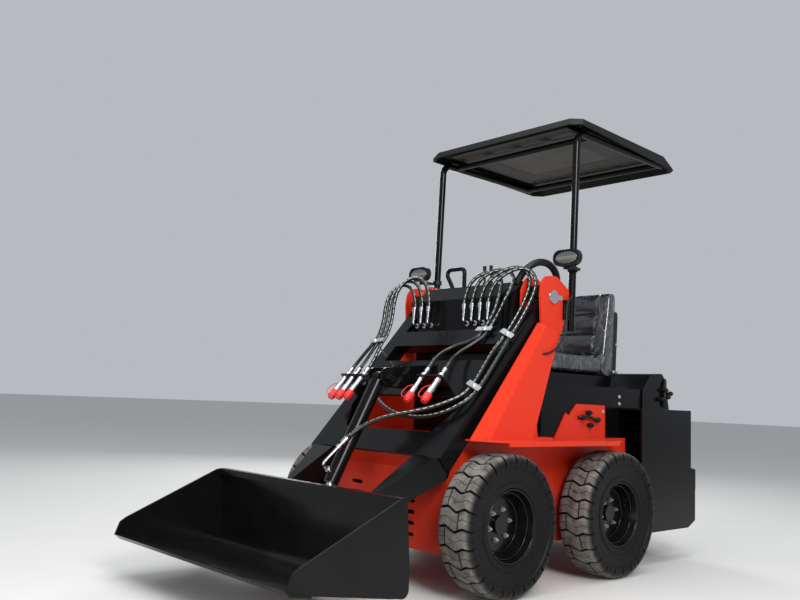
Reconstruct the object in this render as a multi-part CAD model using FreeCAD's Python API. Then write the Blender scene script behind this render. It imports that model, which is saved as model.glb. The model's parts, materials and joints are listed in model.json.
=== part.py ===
import FreeCAD, Part
import math
import os

# Compact skid steer loader with a seat, a canopy and a bucket, in millimetres.
# Every piece is drawn with y = 0 at the front axle, the bucket towards -y and z = 0 on the
# ground. place() then sets the machine with its origin under the middle of its length.
V = FreeCAD.Vector

# Wheels
tyre_radius = 295.0
tyre_width = 172.0
tyre_gap = 45.0
tyre_facets = 44
bead_inset = 22.0
side_radius = 262.0
crown_inset = 20.0
lug_groove = 12.0
lug_depth = 13.0
lug_lean = 20.0
lug_cross = 12.0
rim_radius = 152.0
rim_wall = 6.0
rim_step = 20.0
hub_radius = 70.0
disc_inset = 11.0
disc_thick = 15.0
wheel_base = 800.0
shaft_radius = 20.0
running_gap = 0.05

# Chassis tub
tub_half = 400.0
wall = 10.0
tub_front_y = -185.0
tub_floor_z = 164.0
deck_z = 640.0
nose_z = 500.0
nose_top_y = -75.0
front_slot_rows = 5
front_slot_pitch = 47.0
front_slot_width = 76.0
front_slot_height = 17.0
front_slot_x = 175.0
front_slot_top_z = 410.0
flange_radius = 90.0
flange_thick = 14.0

# Fenders
fender_sheet = 6.0
fender_lip = 22.0
fender_short = 5.0
fender_front_y = -128.0
fender_corner_y = -50.0
fender_straight_y = 790.0
fender_rear_out = 97.0
fender_rear_y = 976.0

# Towers and the lift pivot
pivot_y = 430.0
pivot_z = 1300.0
tower_foot_out = 105.0
tower_top_out = 66.0
tower_sheet = 8.0
tower_seam_z = 1180.0
cheek_sheet = 12.0
cheek_out = 46.0
arm_side_gap = 8.0
pin_radius = 24.0
pin_head = 8.0

# Lift arms
cheek_gap = 12.0
arm_width = 80.0
arm_sheet = 10.0
arm_depth = 80.0
arm_slope = 48.2
elbow_y = -265.0
elbow_z = 562.0
leg_end_y = -493.0
leg_end_z = 417.0
leg_depth = 95.0
leg_step_in = 84.0
leg_end_in = 54.0
bucket_pin_y = -530.0
bucket_pin_z = 190.0
arm_boss_radius = 62.0
beam_low_z = 1065.0
beam_high_z = 1143.0
beam_depth = 50.0
mid_plate_low_z = 815.0
mid_plate_high_z = 985.0
low_plate_start = 5.0
low_plate_end = 131.0
gusset_end = 268.0
gusset_width = 70.0

# Lift cylinders
lift_base_y = 330.0
lift_base_z = 700.0
lift_eye_along = 210.0
lift_eye_depth = 60.0
lift_bore_radius = 25.0
lift_rod_radius = 15.0
lift_dead_length = 60.0
lug_pin_radius = 16.0
rod_eye_radius = 12.5
rod_tail = 75.0
barrel_wall = 6.0

# Tilt cylinder
tilt_top_y = -230.0
tilt_top_z = 888.0
tilt_eye_y = -530.0
tilt_eye_z = 335.0
tilt_bore_radius = 32.0
tilt_rod_radius = 16.0
tilt_dead_length = 105.0
tilt_pin_half = 90.0
eye_width = 46.0
ear_sheet = 12.0
ear_gap = 5.0

# Hydraulic couplers, hoses and their clamps
coupler_along = 372.0
coupler_ahead = 75.0
coupler_plate = 8.0
coupler_margin = 22.0
coupler_xs = (-432.0, -374.0, -310.0, 112.0, 222.0)
coupler_radius = 15.0
cap_radius = 19.0
cap_length = 46.0
hose_radius = 9.0
hose_run = 54.0
manifold_width = 36.0
manifold_x = -274.0
manifold_top = 66.0
tilt_port_along = 480.0
tilt_port_out = 83.0
clamp_length = 96.0
clamp_width = 26.0
clamp_sheet = 6.0
clamp_bolt_radius = 4.5

# Bucket
bucket_over = 12.0
bucket_sheet = 10.0
lip_y = -1136.0
lip_z = 178.0
bucket_back_y = -624.0
bucket_top_z = 441.0
bucket_heel_z = 88.0
edge_length = 110.0
edge_thick = 16.0
hitch_over = 35.0
hitch_low_z = 110.0
hitch_high_z = 385.0

# Engine end
hood_in = 36.0
hood_front_y = 640.0
hood_sheet = 6.0
footwell_front_y = 480.0
hood_top_z = 901.0
recess_front_y = 1008.0
recess_depth = 3.0
recess_high_z = 856.0
side_sheet = 8.0
lid_front_y = 1358.0
lid_slope_y = 1449.0
lid_flat_y = 1566.0
lid_bend_y = 1599.0
lid_bend_z = 964.0
lid_rear_y = 1644.0
lid_top_z = 997.0
lid_gap = 5.0
housing_out = 100.0
housing_front_y = 1150.0
housing_rear_y = 1655.0
housing_step_y = 1706.0
housing_step_z = 484.0
housing_top_z = 797.0
louvre_rows = 6
louvre_pitch = 38.0
louvre_low_z = 530.0
louvre_height = 14.0
louvre_half = 260.0
split_z = 369.0
ballast_floor_z = 164.0
ballast_wall = 16.0
engine_half = 180.0
engine_length = 345.0
engine_height = 300.0
knuckle_radius = 9.0
knuckle_length = 60.0
knuckle_low_x = 230.0

# Seat
seat_half = 235.0
seat_front_y = 705.0
seat_rear_y = 1345.0
pan_top_z = 965.0
cushion_top_z = 1085.0
back_top_z = 1430.0
back_thick = 165.0
soft_gap = 0.3
seat_sheet = 4.0
pan_in = 20.0

# Console
console_gap = 12.0
console_front_y = 305.0
console_low_z = 1305.0
console_top_z = 1380.0
console_rear_y = 440.0
console_slope_run = 70.0
console_sheet = 6.0
lever_xs = (62.0, 104.0)
lever_y = 393.0
pipe_xs = (-310.0, -258.0, -206.0, 44.0, 96.0, 148.0, 200.0)
pipe_z = 1178.0
pipe_radius = 9.0
pipe_out = 42.0
pipe_rise = 95.0

# Canopy
post_out = 13.0
post_radius = 18.0
post_foot_y = 572.0
post_foot_z = 1150.0
post_top_y = 597.0
post_bend = 60.0
roof_frame_z = 2140.0
roof_rear_y = 1390.0
canopy_front_y = 500.0
canopy_front_over = 68.0
canopy_rear_over = 36.0
canopy_rear_y = 1510.0
canopy_sheet = 8.0
canopy_rise = 52.0
canopy_front_lift = 15.0
canopy_rear_drop = 15.0
canopy_corner = 45.0
canopy_rib_depth = 9.0
roof_rise = 6.0

# Lamps
lamp_out = 41.0
lamp_y = 480.0
lamp_z = 1490.0
lamp_width = 150.0
lamp_height = 78.0
lamp_face = 28.0
lamp_rim = 6.0

# Places that follow from the sizes above
wheel_x = tub_half + tyre_gap + tyre_width / 2.0
tyre_outer_x = tub_half + tyre_gap + tyre_width
disc_x = wheel_x - disc_inset
fender_outer_x = tyre_outer_x - fender_short
fender_rear_x = tub_half + fender_rear_out
tower_foot_x = tub_half + tower_foot_out
tower_top_x = tub_half + tower_top_out
cheek_x = tub_half + cheek_out
arm_outer_x = cheek_x - cheek_gap
arm_inner_x = arm_outer_x - arm_width
inner_cheek_x = arm_inner_x - arm_side_gap - cheek_sheet
leg_inner_x = arm_inner_x - leg_step_in
leg_end_x = arm_inner_x - leg_end_in
post_x = cheek_x + post_out
lamp_x = post_x + lamp_out
hood_half = tub_half - hood_in
housing_half = tub_half + housing_out
console_half = inner_cheek_x - console_gap
canopy_front_half = post_x + canopy_front_over
canopy_rear_half = post_x + canopy_rear_over
bucket_half = tyre_outer_x + bucket_over
hitch_half = leg_end_x + hitch_over
axle_z = tyre_radius
hood_low_z = housing_top_z
lift_x = (arm_inner_x + arm_outer_x) / 2.0
middle_y = (lip_y + housing_step_y) / 2.0
slope = math.radians(arm_slope)
up_arm = V(0, math.cos(slope), math.sin(slope))
into_arm = V(0, math.sin(slope), -math.cos(slope))
elbow = V(0, elbow_y, elbow_z)


# Drawing helpers

def rounded_edges(corners, to_space):
    """Edges of a closed outline from corners (u, v) or (u, v, radius)."""
    pts = [to_space(c[0], c[1]) for c in corners]
    radii = [c[2] if len(c) > 2 else 0.0 for c in corners]
    starts, ends, edges = [], [], []
    for i, corner in enumerate(pts):
        before = (pts[i - 1] - corner).normalize()
        after = (pts[(i + 1) % len(pts)] - corner).normalize()
        if not radii[i]:
            starts.append(corner)
            ends.append(corner)
            continue
        half = before.getAngle(after) / 2.0
        run = radii[i] / math.tan(half)
        starts.append(corner + before * run)
        ends.append(corner + after * run)
        inward = (before + after).normalize()
        middle = corner + inward * (radii[i] / math.sin(half) - radii[i])
        edges.append((i, Part.Arc(starts[i], middle, ends[i]).toShape()))
    arcs = dict(edges)
    ordered = []
    for i in range(len(pts)):
        if i in arcs:
            ordered.append(arcs[i])
        following = starts[(i + 1) % len(pts)]
        if ends[i].distanceToPoint(following) > 1e-6:
            ordered.append(Part.LineSegment(ends[i], following).toShape())
    return ordered


def slab(corners, axis, low, high):
    """A plate with the given outline, from low to high along x, y or z."""
    if axis == "x":
        to_space, run = (lambda u, v: V(low, u, v)), V(high - low, 0, 0)
    elif axis == "y":
        to_space, run = (lambda u, v: V(u, low, v)), V(0, high - low, 0)
    else:
        to_space, run = (lambda u, v: V(u, v, low)), V(0, 0, high - low)
    face = Part.Face(Part.Wire(rounded_edges(corners, to_space)))
    return face.extrude(run)


def block(x0, x1, y0, y1, z0, z1):
    return Part.makeBox(x1 - x0, y1 - y0, z1 - z0, V(x0, y0, z0))


def rod(start, end, radius):
    return Part.makeCylinder(radius, (end - start).Length, start, end - start)


def turned(profile, centre):
    """Revolve (x, radius) corners about the line along x through centre."""
    face = Part.Face(Part.Wire(rounded_edges(profile, lambda u, v: V(u, centre.y, centre.z + v))))
    return face.revolve(centre, V(1, 0, 0), 360)


def bent_tube(points, radius, bend):
    """A round bar along straight runs joined by arcs of one bend radius."""
    edges = []
    last = points[0]
    for i in range(1, len(points) - 1):
        corner = points[i]
        before = (points[i - 1] - corner).normalize()
        after = (points[i + 1] - corner).normalize()
        half = before.getAngle(after) / 2.0
        run = bend / math.tan(half)
        start, end = corner + before * run, corner + after * run
        middle = corner + (before + after).normalize() * (bend / math.sin(half) - bend)
        edges.append(Part.LineSegment(last, start).toShape())
        edges.append(Part.Arc(start, middle, end).toShape())
        last = end
    edges.append(Part.LineSegment(last, points[-1]).toShape())
    path = Part.Wire(edges)
    circle = Part.makeCircle(radius, points[0], points[1] - points[0])
    return path.makePipeShell([Part.Wire([circle])], True, False)


def joined(shapes):
    result = shapes[0]
    for other in shapes[1:]:
        result = result.fuse(other)
    return result.removeSplitter()


def other_side(shape):
    return shape.mirror(V(0, 0, 0), V(1, 0, 0))


def both_sides(shape):
    return Part.makeCompound([shape, other_side(shape)])


def front_line(z):
    """Distance y of the arms' front face at height z."""
    return elbow_y + (z - elbow_z) / math.tan(slope)


def on_face(x, along, ahead):
    """Point over the arms' front face: along it from the elbow, and ahead of it."""
    return elbow + up_arm * along - into_arm * ahead + V(x, 0, 0)


def face_slab(corners, low, high):
    """A plate with its outline in (x, along) and its thickness from low to high ahead."""
    face = Part.Face(Part.Wire(rounded_edges(corners, lambda u, v: on_face(u, v, low))))
    return face.extrude(into_arm * (low - high))


def spindle(steps, start, direction):
    """Stepped round bar from a table of (from, to, radius) along a direction."""
    return joined([rod(start + direction * a, start + direction * b, radius) for a, b, radius in steps])


def routed(points, leave, arrive):
    """Evenly spaced points on a smooth curve that leaves and arrives in given directions."""
    stub = hose_run / 2.0
    first, last = points[0] + leave * stub, points[-1] - arrive * stub
    curve = Part.BSplineCurve()
    curve.interpolate([points[0], first] + points[1:-1] + [last, points[-1]])
    span = curve.toShape(curve.parameter(first), curve.parameter(last))
    count = round(span.Length / hose_run) + 1
    return [points[0]] + span.discretize(Number=count) + [points[-1]]


def hose(points, radius):
    """Hose along straight runs, each joined by the largest arc that its two runs allow."""
    edges = []
    radii = []
    last = points[0]
    for i in range(1, len(points) - 1):
        corner = points[i]
        back, forth = points[i - 1] - corner, points[i + 1] - corner
        run = 0.45 * min(back.Length, forth.Length)
        before, after = back.normalize(), forth.normalize()
        half = before.getAngle(after) / 2.0
        bend = run * math.tan(half)
        start, end = corner + before * run, corner + after * run
        middle = corner + (before + after).normalize() * (bend / math.sin(half) - bend)
        edges.append(Part.LineSegment(last, start).toShape())
        edges.append(Part.Arc(start, middle, end).toShape())
        radii.append(bend)
        last = end
    edges.append(Part.LineSegment(last, points[-1]).toShape())
    path = Part.Wire(edges)
    circle = Part.makeCircle(radius, points[0], points[1] - points[0])
    tube = path.makePipeShell([Part.Wire([circle])], True, False)
    expected = math.pi * radius * radius * path.Length
    print(f"hose {path.Length:.0f} long, radii {min(radii):.0f} to {max(radii):.0f},",
          f"volume {tube.Volume / expected:.4f} of its section times its length")
    return tube


# Wheels

def tyre(centre_x):
    """Faceted tyre: flat rings between polygons, with grooves that lean in from each shoulder."""
    half = tyre_width / 2.0
    step = 2 * math.pi / tyre_facets
    bead_radius = rim_radius / math.cos(step / 2.0)
    side = [(half - bead_inset, bead_radius), (half, side_radius), (half - crown_inset, tyre_radius)]
    profile = [(-x, r) for x, r in side] + list(reversed(side))

    def corner(i, k):
        x, r = profile[i % len(profile)]
        angle = k * step - math.pi / 2.0
        return V(centre_x + x, r * math.cos(angle), axle_z + r * math.sin(angle))

    faces = []
    for i in range(len(profile)):
        for k in range(tyre_facets):
            ring = [corner(i, k), corner(i + 1, k), corner(i + 1, k + 1), corner(i, k + 1)]
            faces.append(Part.Face(Part.makePolygon(ring + ring[:1])))
    body = Part.makeSolid(Part.makeShell(faces))
    low, high = tyre_radius - lug_depth, tyre_radius + lug_depth
    reach = half + lug_depth
    outline = [(-lug_cross, low), (reach, low), (reach, high), (-lug_cross, high)]
    cutters = []
    for k in range(tyre_facets):
        way = 1 if k % 2 else -1
        points = [V(way * x, -lug_groove / 2.0, r) for x, r in outline]
        groove = Part.Face(Part.makePolygon(points + points[:1])).extrude(V(0, lug_groove, 0))
        groove.rotate(V(0, 0, 0), V(0, 0, 1), way * lug_lean)
        groove.rotate(V(0, 0, 0), V(1, 0, 0), math.degrees(k * step) - 180.0)
        groove.translate(V(centre_x, 0, axle_z))
        cutters.append(groove)
    return body.cut(cutters)


def rim(centre_x):
    """Dished wheel with its stub shaft, stepped down from the bead seats to the disc."""
    inner = centre_x - tyre_width / 2.0 + bead_inset
    outer = centre_x + tyre_width / 2.0 - bead_inset
    hub = hub_radius
    profile = [(inner, rim_radius), (inner, rim_radius - rim_wall), (disc_x, rim_radius - rim_step),
               (disc_x, hub), (disc_x - disc_thick, hub), (disc_x - disc_thick, shaft_radius),
               (centre_x - 95, shaft_radius), (centre_x - 95, 0), (disc_x + 22, 0),
               (disc_x + 22, 38), (disc_x + rim_wall, 38), (disc_x + rim_wall, rim_radius - 26),
               (outer, rim_radius - rim_wall), (outer, rim_radius)]
    return turned(profile, V(centre_x, 0, axle_z))


def hub_housing(y):
    """Fixed axle housing with its flange, on the tub's side wall."""
    bore = shaft_radius + running_gap
    profile = [(tub_half, bore), (tub_half, flange_radius), (tub_half + flange_thick, flange_radius),
               (tub_half + flange_thick, 62),
               (disc_x - 22, 52), (disc_x - 22, bore)]
    return turned(profile, V(tub_half, y, axle_z))


# Chassis

def front_slots():
    cutters = []
    for side in (-1, 1):
        for row in range(front_slot_rows):
            z = front_slot_top_z - row * front_slot_pitch
            x = side * front_slot_x
            high, wide = front_slot_height / 2, front_slot_width / 2
            end = high - 0.5
            outline = [(x - wide, z - high, end), (x - wide, z + high, end),
                       (x + wide, z + high, end), (x + wide, z - high, end)]
            cutters.append(slab(outline, "y", tub_front_y - 1, tub_front_y + wall + 1))
    return cutters


def chassis_frame():
    rear = housing_front_y
    top = deck_z - fender_sheet
    side_wall = slab([(tub_front_y, tub_floor_z), (tub_front_y, nose_z), (nose_top_y, top),
                      (rear, top), (rear, tub_floor_z)], "x", tub_half - wall, tub_half)
    skin = slab([(tub_front_y, tub_floor_z), (tub_front_y, nose_z), (nose_top_y, top),
                 (hood_front_y, top), (hood_front_y, top - wall), (nose_top_y + 5, top - wall),
                 (tub_front_y + wall, nose_z - 4), (tub_front_y + wall, tub_floor_z + wall),
                 (rear, tub_floor_z + wall), (rear, tub_floor_z)], "x", -tub_half, tub_half)
    for cutter in front_slots():
        skin = skin.cut(cutter)
    walls = side_wall.fuse(other_side(side_wall))
    for y in (0.0, wheel_base):
        hole = rod(V(-tub_half - 1, y, axle_z), V(tub_half + 1, y, axle_z), shaft_radius + 4)
        walls = walls.cut(hole)
    return joined([skin, walls])


def fender():
    inner_front_x = arm_outer_x + 8
    corners = [(tub_half, nose_top_y), (inner_front_x, nose_top_y), (inner_front_x, fender_front_y),
               (tower_foot_x - 30, fender_front_y, 10), (fender_outer_x - 52, fender_corner_y - 50, 20),
               (fender_outer_x, fender_corner_y, 20), (fender_outer_x, fender_straight_y, 30),
               (fender_rear_x, fender_rear_y, 10), (tub_half, fender_rear_y + 40)]
    plate = slab(corners, "z", deck_z - fender_sheet, deck_z)
    lip = block(fender_outer_x - fender_sheet, fender_outer_x, fender_corner_y + 10,
                fender_straight_y - 20, deck_z - fender_lip, deck_z)
    return joined([plate, lip])


def deck_plate():
    """Operator's floor between the towers, with the strips under them."""
    return block(-tub_half, tub_half, nose_top_y, housing_front_y, deck_z - fender_sheet, deck_z)


# Towers

def tower_left():
    foot_z, top_z = deck_z, tower_seam_z + 20
    foot = [(tower_foot_x, 245), (tower_foot_x, -42), (tower_foot_x - 30, -128)]
    head = [(tower_top_x, 500), (tower_top_x, 405), (tower_top_x - 16, 362)]

    def section(line, z):
        inside = [(x - tower_sheet, y) for x, y in reversed(line)]
        points = [V(x, y, z) for x, y in line + inside]
        return Part.makePolygon(points + points[:1])

    outer = Part.makeLoft([section(foot, foot_z), section(head, top_z)], True, True)
    trim = slab([(300, tower_seam_z), (300, top_z + 5), (560, top_z + 5), (560, tower_seam_z - 66)],
                "x", tower_top_x - 60, tower_top_x + 40)
    outer = outer.cut(trim)
    cheek_outline = [(352, 1130), (338, 1300, 60), (350, 1392, 60), (455, 1402, 60),
                     (556, 1345, 20), (556, 1290), (500, 1130)]
    cheek = slab(cheek_outline, "x", cheek_x, cheek_x + cheek_sheet)
    inner_outline = [(-60, deck_z), (332, 1143), (338, 1210), (340, 1330, 60), (375, 1400, 50), (470, 1400, 60),
                     (520, 1320, 30), (505, 1140), (395, 900), (395, deck_z)]
    inner = slab(inner_outline, "x", inner_cheek_x, inner_cheek_x + cheek_sheet)
    base = block(inner_cheek_x, tower_foot_x - 6, -60, 395, deck_z, deck_z + 10)
    web = slab([(245, deck_z), (258, deck_z), (512, 1150), (500, 1150)], "x",
               inner_cheek_x, tower_top_x - tower_sheet - 6)
    web = web.cut(block(arm_inner_x - 4, arm_outer_x + 4, 200, 560, deck_z + 10, 1160))
    ears = []
    ear_reach = eye_width / 2 + ear_gap
    for low in (lift_x - ear_reach - tower_sheet, lift_x + ear_reach):
        outline = [(lift_base_y - 45, deck_z + 10), (lift_base_y - 30, lift_base_z + 30, 28),
                   (lift_base_y + 30, lift_base_z + 30, 28), (lift_base_y + 45, deck_z + 10)]
        ears.append(slab(outline, "x", low, low + tower_sheet))
    reach = ear_reach + tower_sheet + 4
    pin = rod(V(lift_x - reach, lift_base_y, lift_base_z), V(lift_x + reach, lift_base_y, lift_base_z),
              lug_pin_radius)
    body = joined([outer, inner, base, web, cheek] + ears + [pin])
    body = body.cut(canopy_post(post_radius + soft_gap))
    return body.cut(rod(V(inner_cheek_x - 1, pivot_y, pivot_z), V(cheek_x + 20, pivot_y, pivot_z),
                        pin_radius + running_gap))


def pivot_pin():
    """Pin that carries an arm between its tower's cheeks, with a head outside."""
    inside, outside = inner_cheek_x - 6, cheek_x + cheek_sheet
    shank = rod(V(inside, pivot_y, pivot_z), V(outside + 4, pivot_y, pivot_z), pin_radius)
    head = rod(V(outside, pivot_y, pivot_z), V(outside + pin_head, pivot_y, pivot_z),
               pin_radius + pin_head)
    keeper = slab([(pivot_y - 34, pivot_z - 18, 10), (pivot_y - 34, pivot_z + 18, 10),
                   (pivot_y + 70, pivot_z + 10, 8), (pivot_y + 70, pivot_z - 10, 8)], "x",
                  outside, outside + 5)
    return joined([shank, head, keeper])


# Lift arms

def arm_left():
    """Channel-shaped arm: a beam from the pivot, bent at the elbow into the bucket's leg."""
    top = V(0, front_line(pivot_z), pivot_z)
    inner_top = top + into_arm * arm_depth
    leg_run = V(0, leg_end_y - elbow_y, leg_end_z - elbow_z).normalize()
    leg_in = V(0, -leg_run.z, leg_run.y)
    under_end = V(0, leg_end_y, leg_end_z) + leg_in * leg_depth
    under_start = elbow + leg_in * leg_depth
    rear = elbow + into_arm * arm_depth
    beam = slab([(elbow.y, elbow.z), (top.y, top.z), (inner_top.y, inner_top.z),
                 (rear.y, rear.z), (under_start.y, under_start.z)], "x", arm_inner_x, arm_outer_x)
    boss = rod(V(arm_inner_x, pivot_y, pivot_z), V(arm_outer_x, pivot_y, pivot_z), arm_boss_radius)
    channel_low = elbow + up_arm * 120 + into_arm * arm_sheet
    channel_high = top - up_arm * 80 + into_arm * arm_sheet
    reach = into_arm * arm_depth
    channel = slab([(channel_low.y, channel_low.z), (channel_high.y, channel_high.z),
                    ((channel_high + reach).y, (channel_high + reach).z),
                    ((channel_low + reach).y, (channel_low + reach).z)], "x",
                   arm_inner_x + arm_sheet, arm_outer_x - arm_sheet)
    leg_outline = [(elbow.y, elbow.z), (leg_end_y, leg_end_z), (-545, 378), (-568, 340, 20),
                   (-568, 150, 37), (-492, 150, 37), (-486, 300, 40),
                   (under_end.y, under_end.z, 30), (under_start.y, under_start.z)]
    leg = slab(leg_outline, "x", leg_inner_x, arm_outer_x)
    taper = slab([(leg_end_x, leg_end_y), (arm_outer_x, elbow_y + 40), (arm_outer_x + 5, elbow_y + 40),
                  (arm_outer_x + 5, -700), (leg_end_x, -700)], "z", 0, elbow_z + 100)
    leg = leg.cut(taper)
    body = joined([beam.cut(channel), boss, leg])
    body = body.cut(rod(V(0, pivot_y, pivot_z), V(arm_outer_x + 1, pivot_y, pivot_z),
                        pin_radius + running_gap))
    return body.cut(rod(V(leg_inner_x - 1, bucket_pin_y, bucket_pin_z),
                        V(leg_end_x + 1, bucket_pin_y, bucket_pin_z), lug_pin_radius + running_gap))


def flush_plate(low_z, high_z, half, depth):
    low = V(0, front_line(low_z), low_z)
    high = V(0, front_line(high_z), high_z)
    corners = [low, high, high + into_arm * depth, low + into_arm * depth]
    return slab([(c.y, c.z) for c in corners], "x", -half, half)


def arm_cross_members():
    half = arm_inner_x
    beam = flush_plate(beam_low_z, beam_high_z, half, beam_depth)
    mid = flush_plate(mid_plate_low_z, mid_plate_high_z, half, arm_sheet)
    inset = half - gusset_width
    low = face_slab([(-half, low_plate_start), (half, low_plate_start), (half, gusset_end),
                     (inset, low_plate_end, 30), (-inset, low_plate_end, 30), (-half, gusset_end)],
                    -arm_sheet, 0)
    ear = slab([(front_line(840), 840), (tilt_top_y - 20, tilt_top_z - 35, 30),
                (tilt_top_y - 35, tilt_top_z + 40, 30), (front_line(960), 960)], "x",
               tilt_bore_radius + ear_gap, tilt_bore_radius + ear_gap + ear_sheet)
    reach = tilt_pin_half
    pin = rod(V(-reach, tilt_top_y, tilt_top_z), V(reach, tilt_top_y, tilt_top_z), lug_pin_radius)
    bracket = joined([mid, ear, other_side(ear), pin, manifold()] + coupler_brackets())
    return Part.makeCompound([beam, bracket, low])


# Hydraulic couplers on the arms

def coupler_brackets():
    """Plates that stand on the arms' face, square to the couplers they carry."""
    plates = []
    top = coupler_ahead + coupler_margin
    for row in ([x for x in coupler_xs if x < 0], [x for x in coupler_xs if x > 0]):
        low, high = min(row) - coupler_margin, max(row) + coupler_margin
        plate = face_slab([(low, coupler_along), (high, coupler_along),
                           (high, coupler_along + coupler_plate), (low, coupler_along + coupler_plate)],
                          -1 if high > 0 else 0, top)
        for x in row:
            plate = plate.cut(rod(on_face(x, coupler_along - 1, coupler_ahead),
                                  on_face(x, coupler_along + coupler_plate + 1, coupler_ahead),
                                  coupler_radius - 3))
        plates.append(plate)
    return plates


def arm_couplers():
    """Each coupler: ferrule and nut above the plate, body and sleeve below it."""
    table = [
        # from, to, radius
        (62, 40, hose_radius + 3.5),
        (40, 26, hose_radius),
        (26, coupler_plate, coupler_radius + 1.5),
        (coupler_plate, 0, coupler_radius - 3),
        (0, -22, coupler_radius + 1.5),
        (-22, -60, coupler_radius),
        (-60, -92, coupler_radius + 3),
    ]
    return Part.makeCompound([spindle(table, on_face(x, coupler_along, coupler_ahead), up_arm)
                              for x in coupler_xs])


def coupler_caps():
    """Push-on caps over the couplers' lower ends."""
    table = [(-92, -92 - cap_length + 8, cap_radius), (-92 - cap_length + 8, -92 - cap_length, cap_radius - 4)]
    return Part.makeCompound([spindle(table, on_face(x, coupler_along, coupler_ahead), up_arm)
                              for x in coupler_xs])


def manifold():
    """Block on the middle plate where the second hose of the near side ends."""
    low, high = manifold_x - manifold_width / 2.0, manifold_x + manifold_width / 2.0
    foot = coupler_along - manifold_width
    return face_slab([(low, foot), (high, foot), (high, coupler_along), (low, coupler_along)],
                     -1, manifold_top)


# Hoses, their ends and their clamps

# x, along and ahead on the arms' face, where each hose passes from its clamp to its end
arm_routes = {
    "manifold": [(412, 722, 20), (406, 620, 12), (411, 520, 11), (415, 430, 11), (412, 360, 12),
                 (400, 300, 20), (365, 245, 30), (315, 212, 32), (250, 190, 32), (180, 182, 32),
                 (106, 182, 34), (40, 190, 42), (-30, 212, 50), (-100, 250, 52), (-165, 295, 48),
                 (-218, 334, 46)],
    "far_outer": [(-375, 614, 103), (-404, 522, 90), (-432, 434, 75)],
    "far_middle": [(-344, 614, 103), (-359, 522, 88), (-374, 434, 75)],
    "far_inner": [(-313, 614, 103), (-310, 522, 88), (-310, 434, 75)],
    "near_inner": [(207, 751, 12), (198, 704, 14), (170, 672, 18), (130, 646, 26), (98, 606, 38),
                   (87, 556, 52), (96, 504, 67), (112, 434, 75)],
    "near_outer": [(240, 751, 12), (233, 700, 15), (211, 650, 22), (192, 604, 32), (186, 560, 44),
                   (198, 512, 60), (222, 434, 75)],
}
tilt_route = [(376, 722, 20), (354, 625, 12), (357, 540, 11), (366, 450, 11), (366, 385, 12),
              (352, 325, 20), (318, 270, 40), (275, 215, 62), (217, 172, 82), (165, 138, 100),
              (112, 92, 122), (72, 40, 140), (48, -8, 152), (33, -66, 160)]

# x of the pipe, then the points (x, y, z) that its loop passes, then where it ends on the face
loop_routes = [
    (200, [(226, 280, 1364), (266, 294, 1402), (314, 318, 1430), (360, 345, 1436),
           (394, 366, 1408), (408, 368, 1359), (412, 346, 1312)], [(412, 880, 30), (412, 722, 20)]),
    (148, [(172, 282, 1368), (212, 300, 1408), (262, 326, 1438), (312, 352, 1446),
           (350, 368, 1424), (368, 374, 1380), (375, 352, 1326)], [(377, 880, 31), (376, 722, 20)]),
    (96, [(116, 280, 1372), (154, 300, 1416), (206, 328, 1440), (258, 350, 1430),
          (294, 346, 1392), (301, 314, 1340), (290, 286, 1288), (266, 274, 1226)],
     [(240, 751, 12)]),
    (44, [(62, 280, 1370), (98, 298, 1412), (146, 322, 1430), (196, 336, 1418),
          (232, 328, 1376), (243, 302, 1328), (241, 286, 1276), (234, 272, 1220)],
     [(207, 751, 12)]),
    (-310, [(-326, 262, 1372), (-346, 224, 1392), (-364, 176, 1370), (-374, 138, 1318),
            (-378, 122, 1254), (-378, 116, 1188)], [(-375, 614, 103)]),
    (-258, [(-278, 266, 1384), (-306, 230, 1412), (-328, 180, 1388), (-341, 138, 1330),
            (-346, 122, 1258), (-347, 116, 1190)], [(-344, 614, 103)]),
    (-206, [(-228, 270, 1390), (-262, 238, 1428), (-292, 184, 1406), (-308, 138, 1344),
            (-313, 121, 1266), (-314, 116, 1192)], [(-313, 614, 103)]),
]

# x, along, height ahead of the plate, turn in degrees, and how far the bolt stands off its middle
clamps = [
    (394.0, 705.0, 31.0, 27.0, 0.0),
    (389.0, 385.0, 23.0, 24.0, 0.0),
    (223.5, 751.0, 23.0, 0.0, 0.0),
    (-344.0, 596.0, 113.0, -8.0, -15.5),
]


def hoses():
    """The hoses held on the arms, the loops from the console, and the tilt cylinder's hose."""
    down = up_arm * -1
    held = []
    for name, route in arm_routes.items():
        points = [on_face(*point) for point in route]
        arrive = (points[-1] - points[-2]).normalize() if name == "manifold" else down
        held.append(hose(routed(points, down, arrive), hose_radius))
    loops = []
    for x, middle, ends in loop_routes:
        start = pipe_end(x)
        leave = (start - V(x, console_front_y - pipe_out, pipe_z)).normalize()
        points = [start] + [V(*point) for point in middle] + [on_face(*point) for point in ends]
        loops.append(hose(routed(points, leave, down), hose_radius))
    points = [on_face(*point) for point in tilt_route]
    to_tilt = hose(routed(points, down, tilt_port_line()), hose_radius)
    return Part.makeCompound(held), Part.makeCompound(loops), to_tilt


def tilt_port_corner():
    """Corner of the elbow that stands on the tilt barrel, and the way out of the barrel."""
    base, eye = V(0, tilt_top_y, tilt_top_z), V(0, tilt_eye_y, tilt_eye_z)
    along = (eye - base).normalize()
    out = V(0, along.z, -along.y)
    foot = base + along * tilt_port_along
    return foot, out, foot + out * tilt_port_out


def tilt_port_line():
    corner = tilt_port_corner()[2]
    return (corner - on_face(*tilt_route[-1])).normalize()


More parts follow.
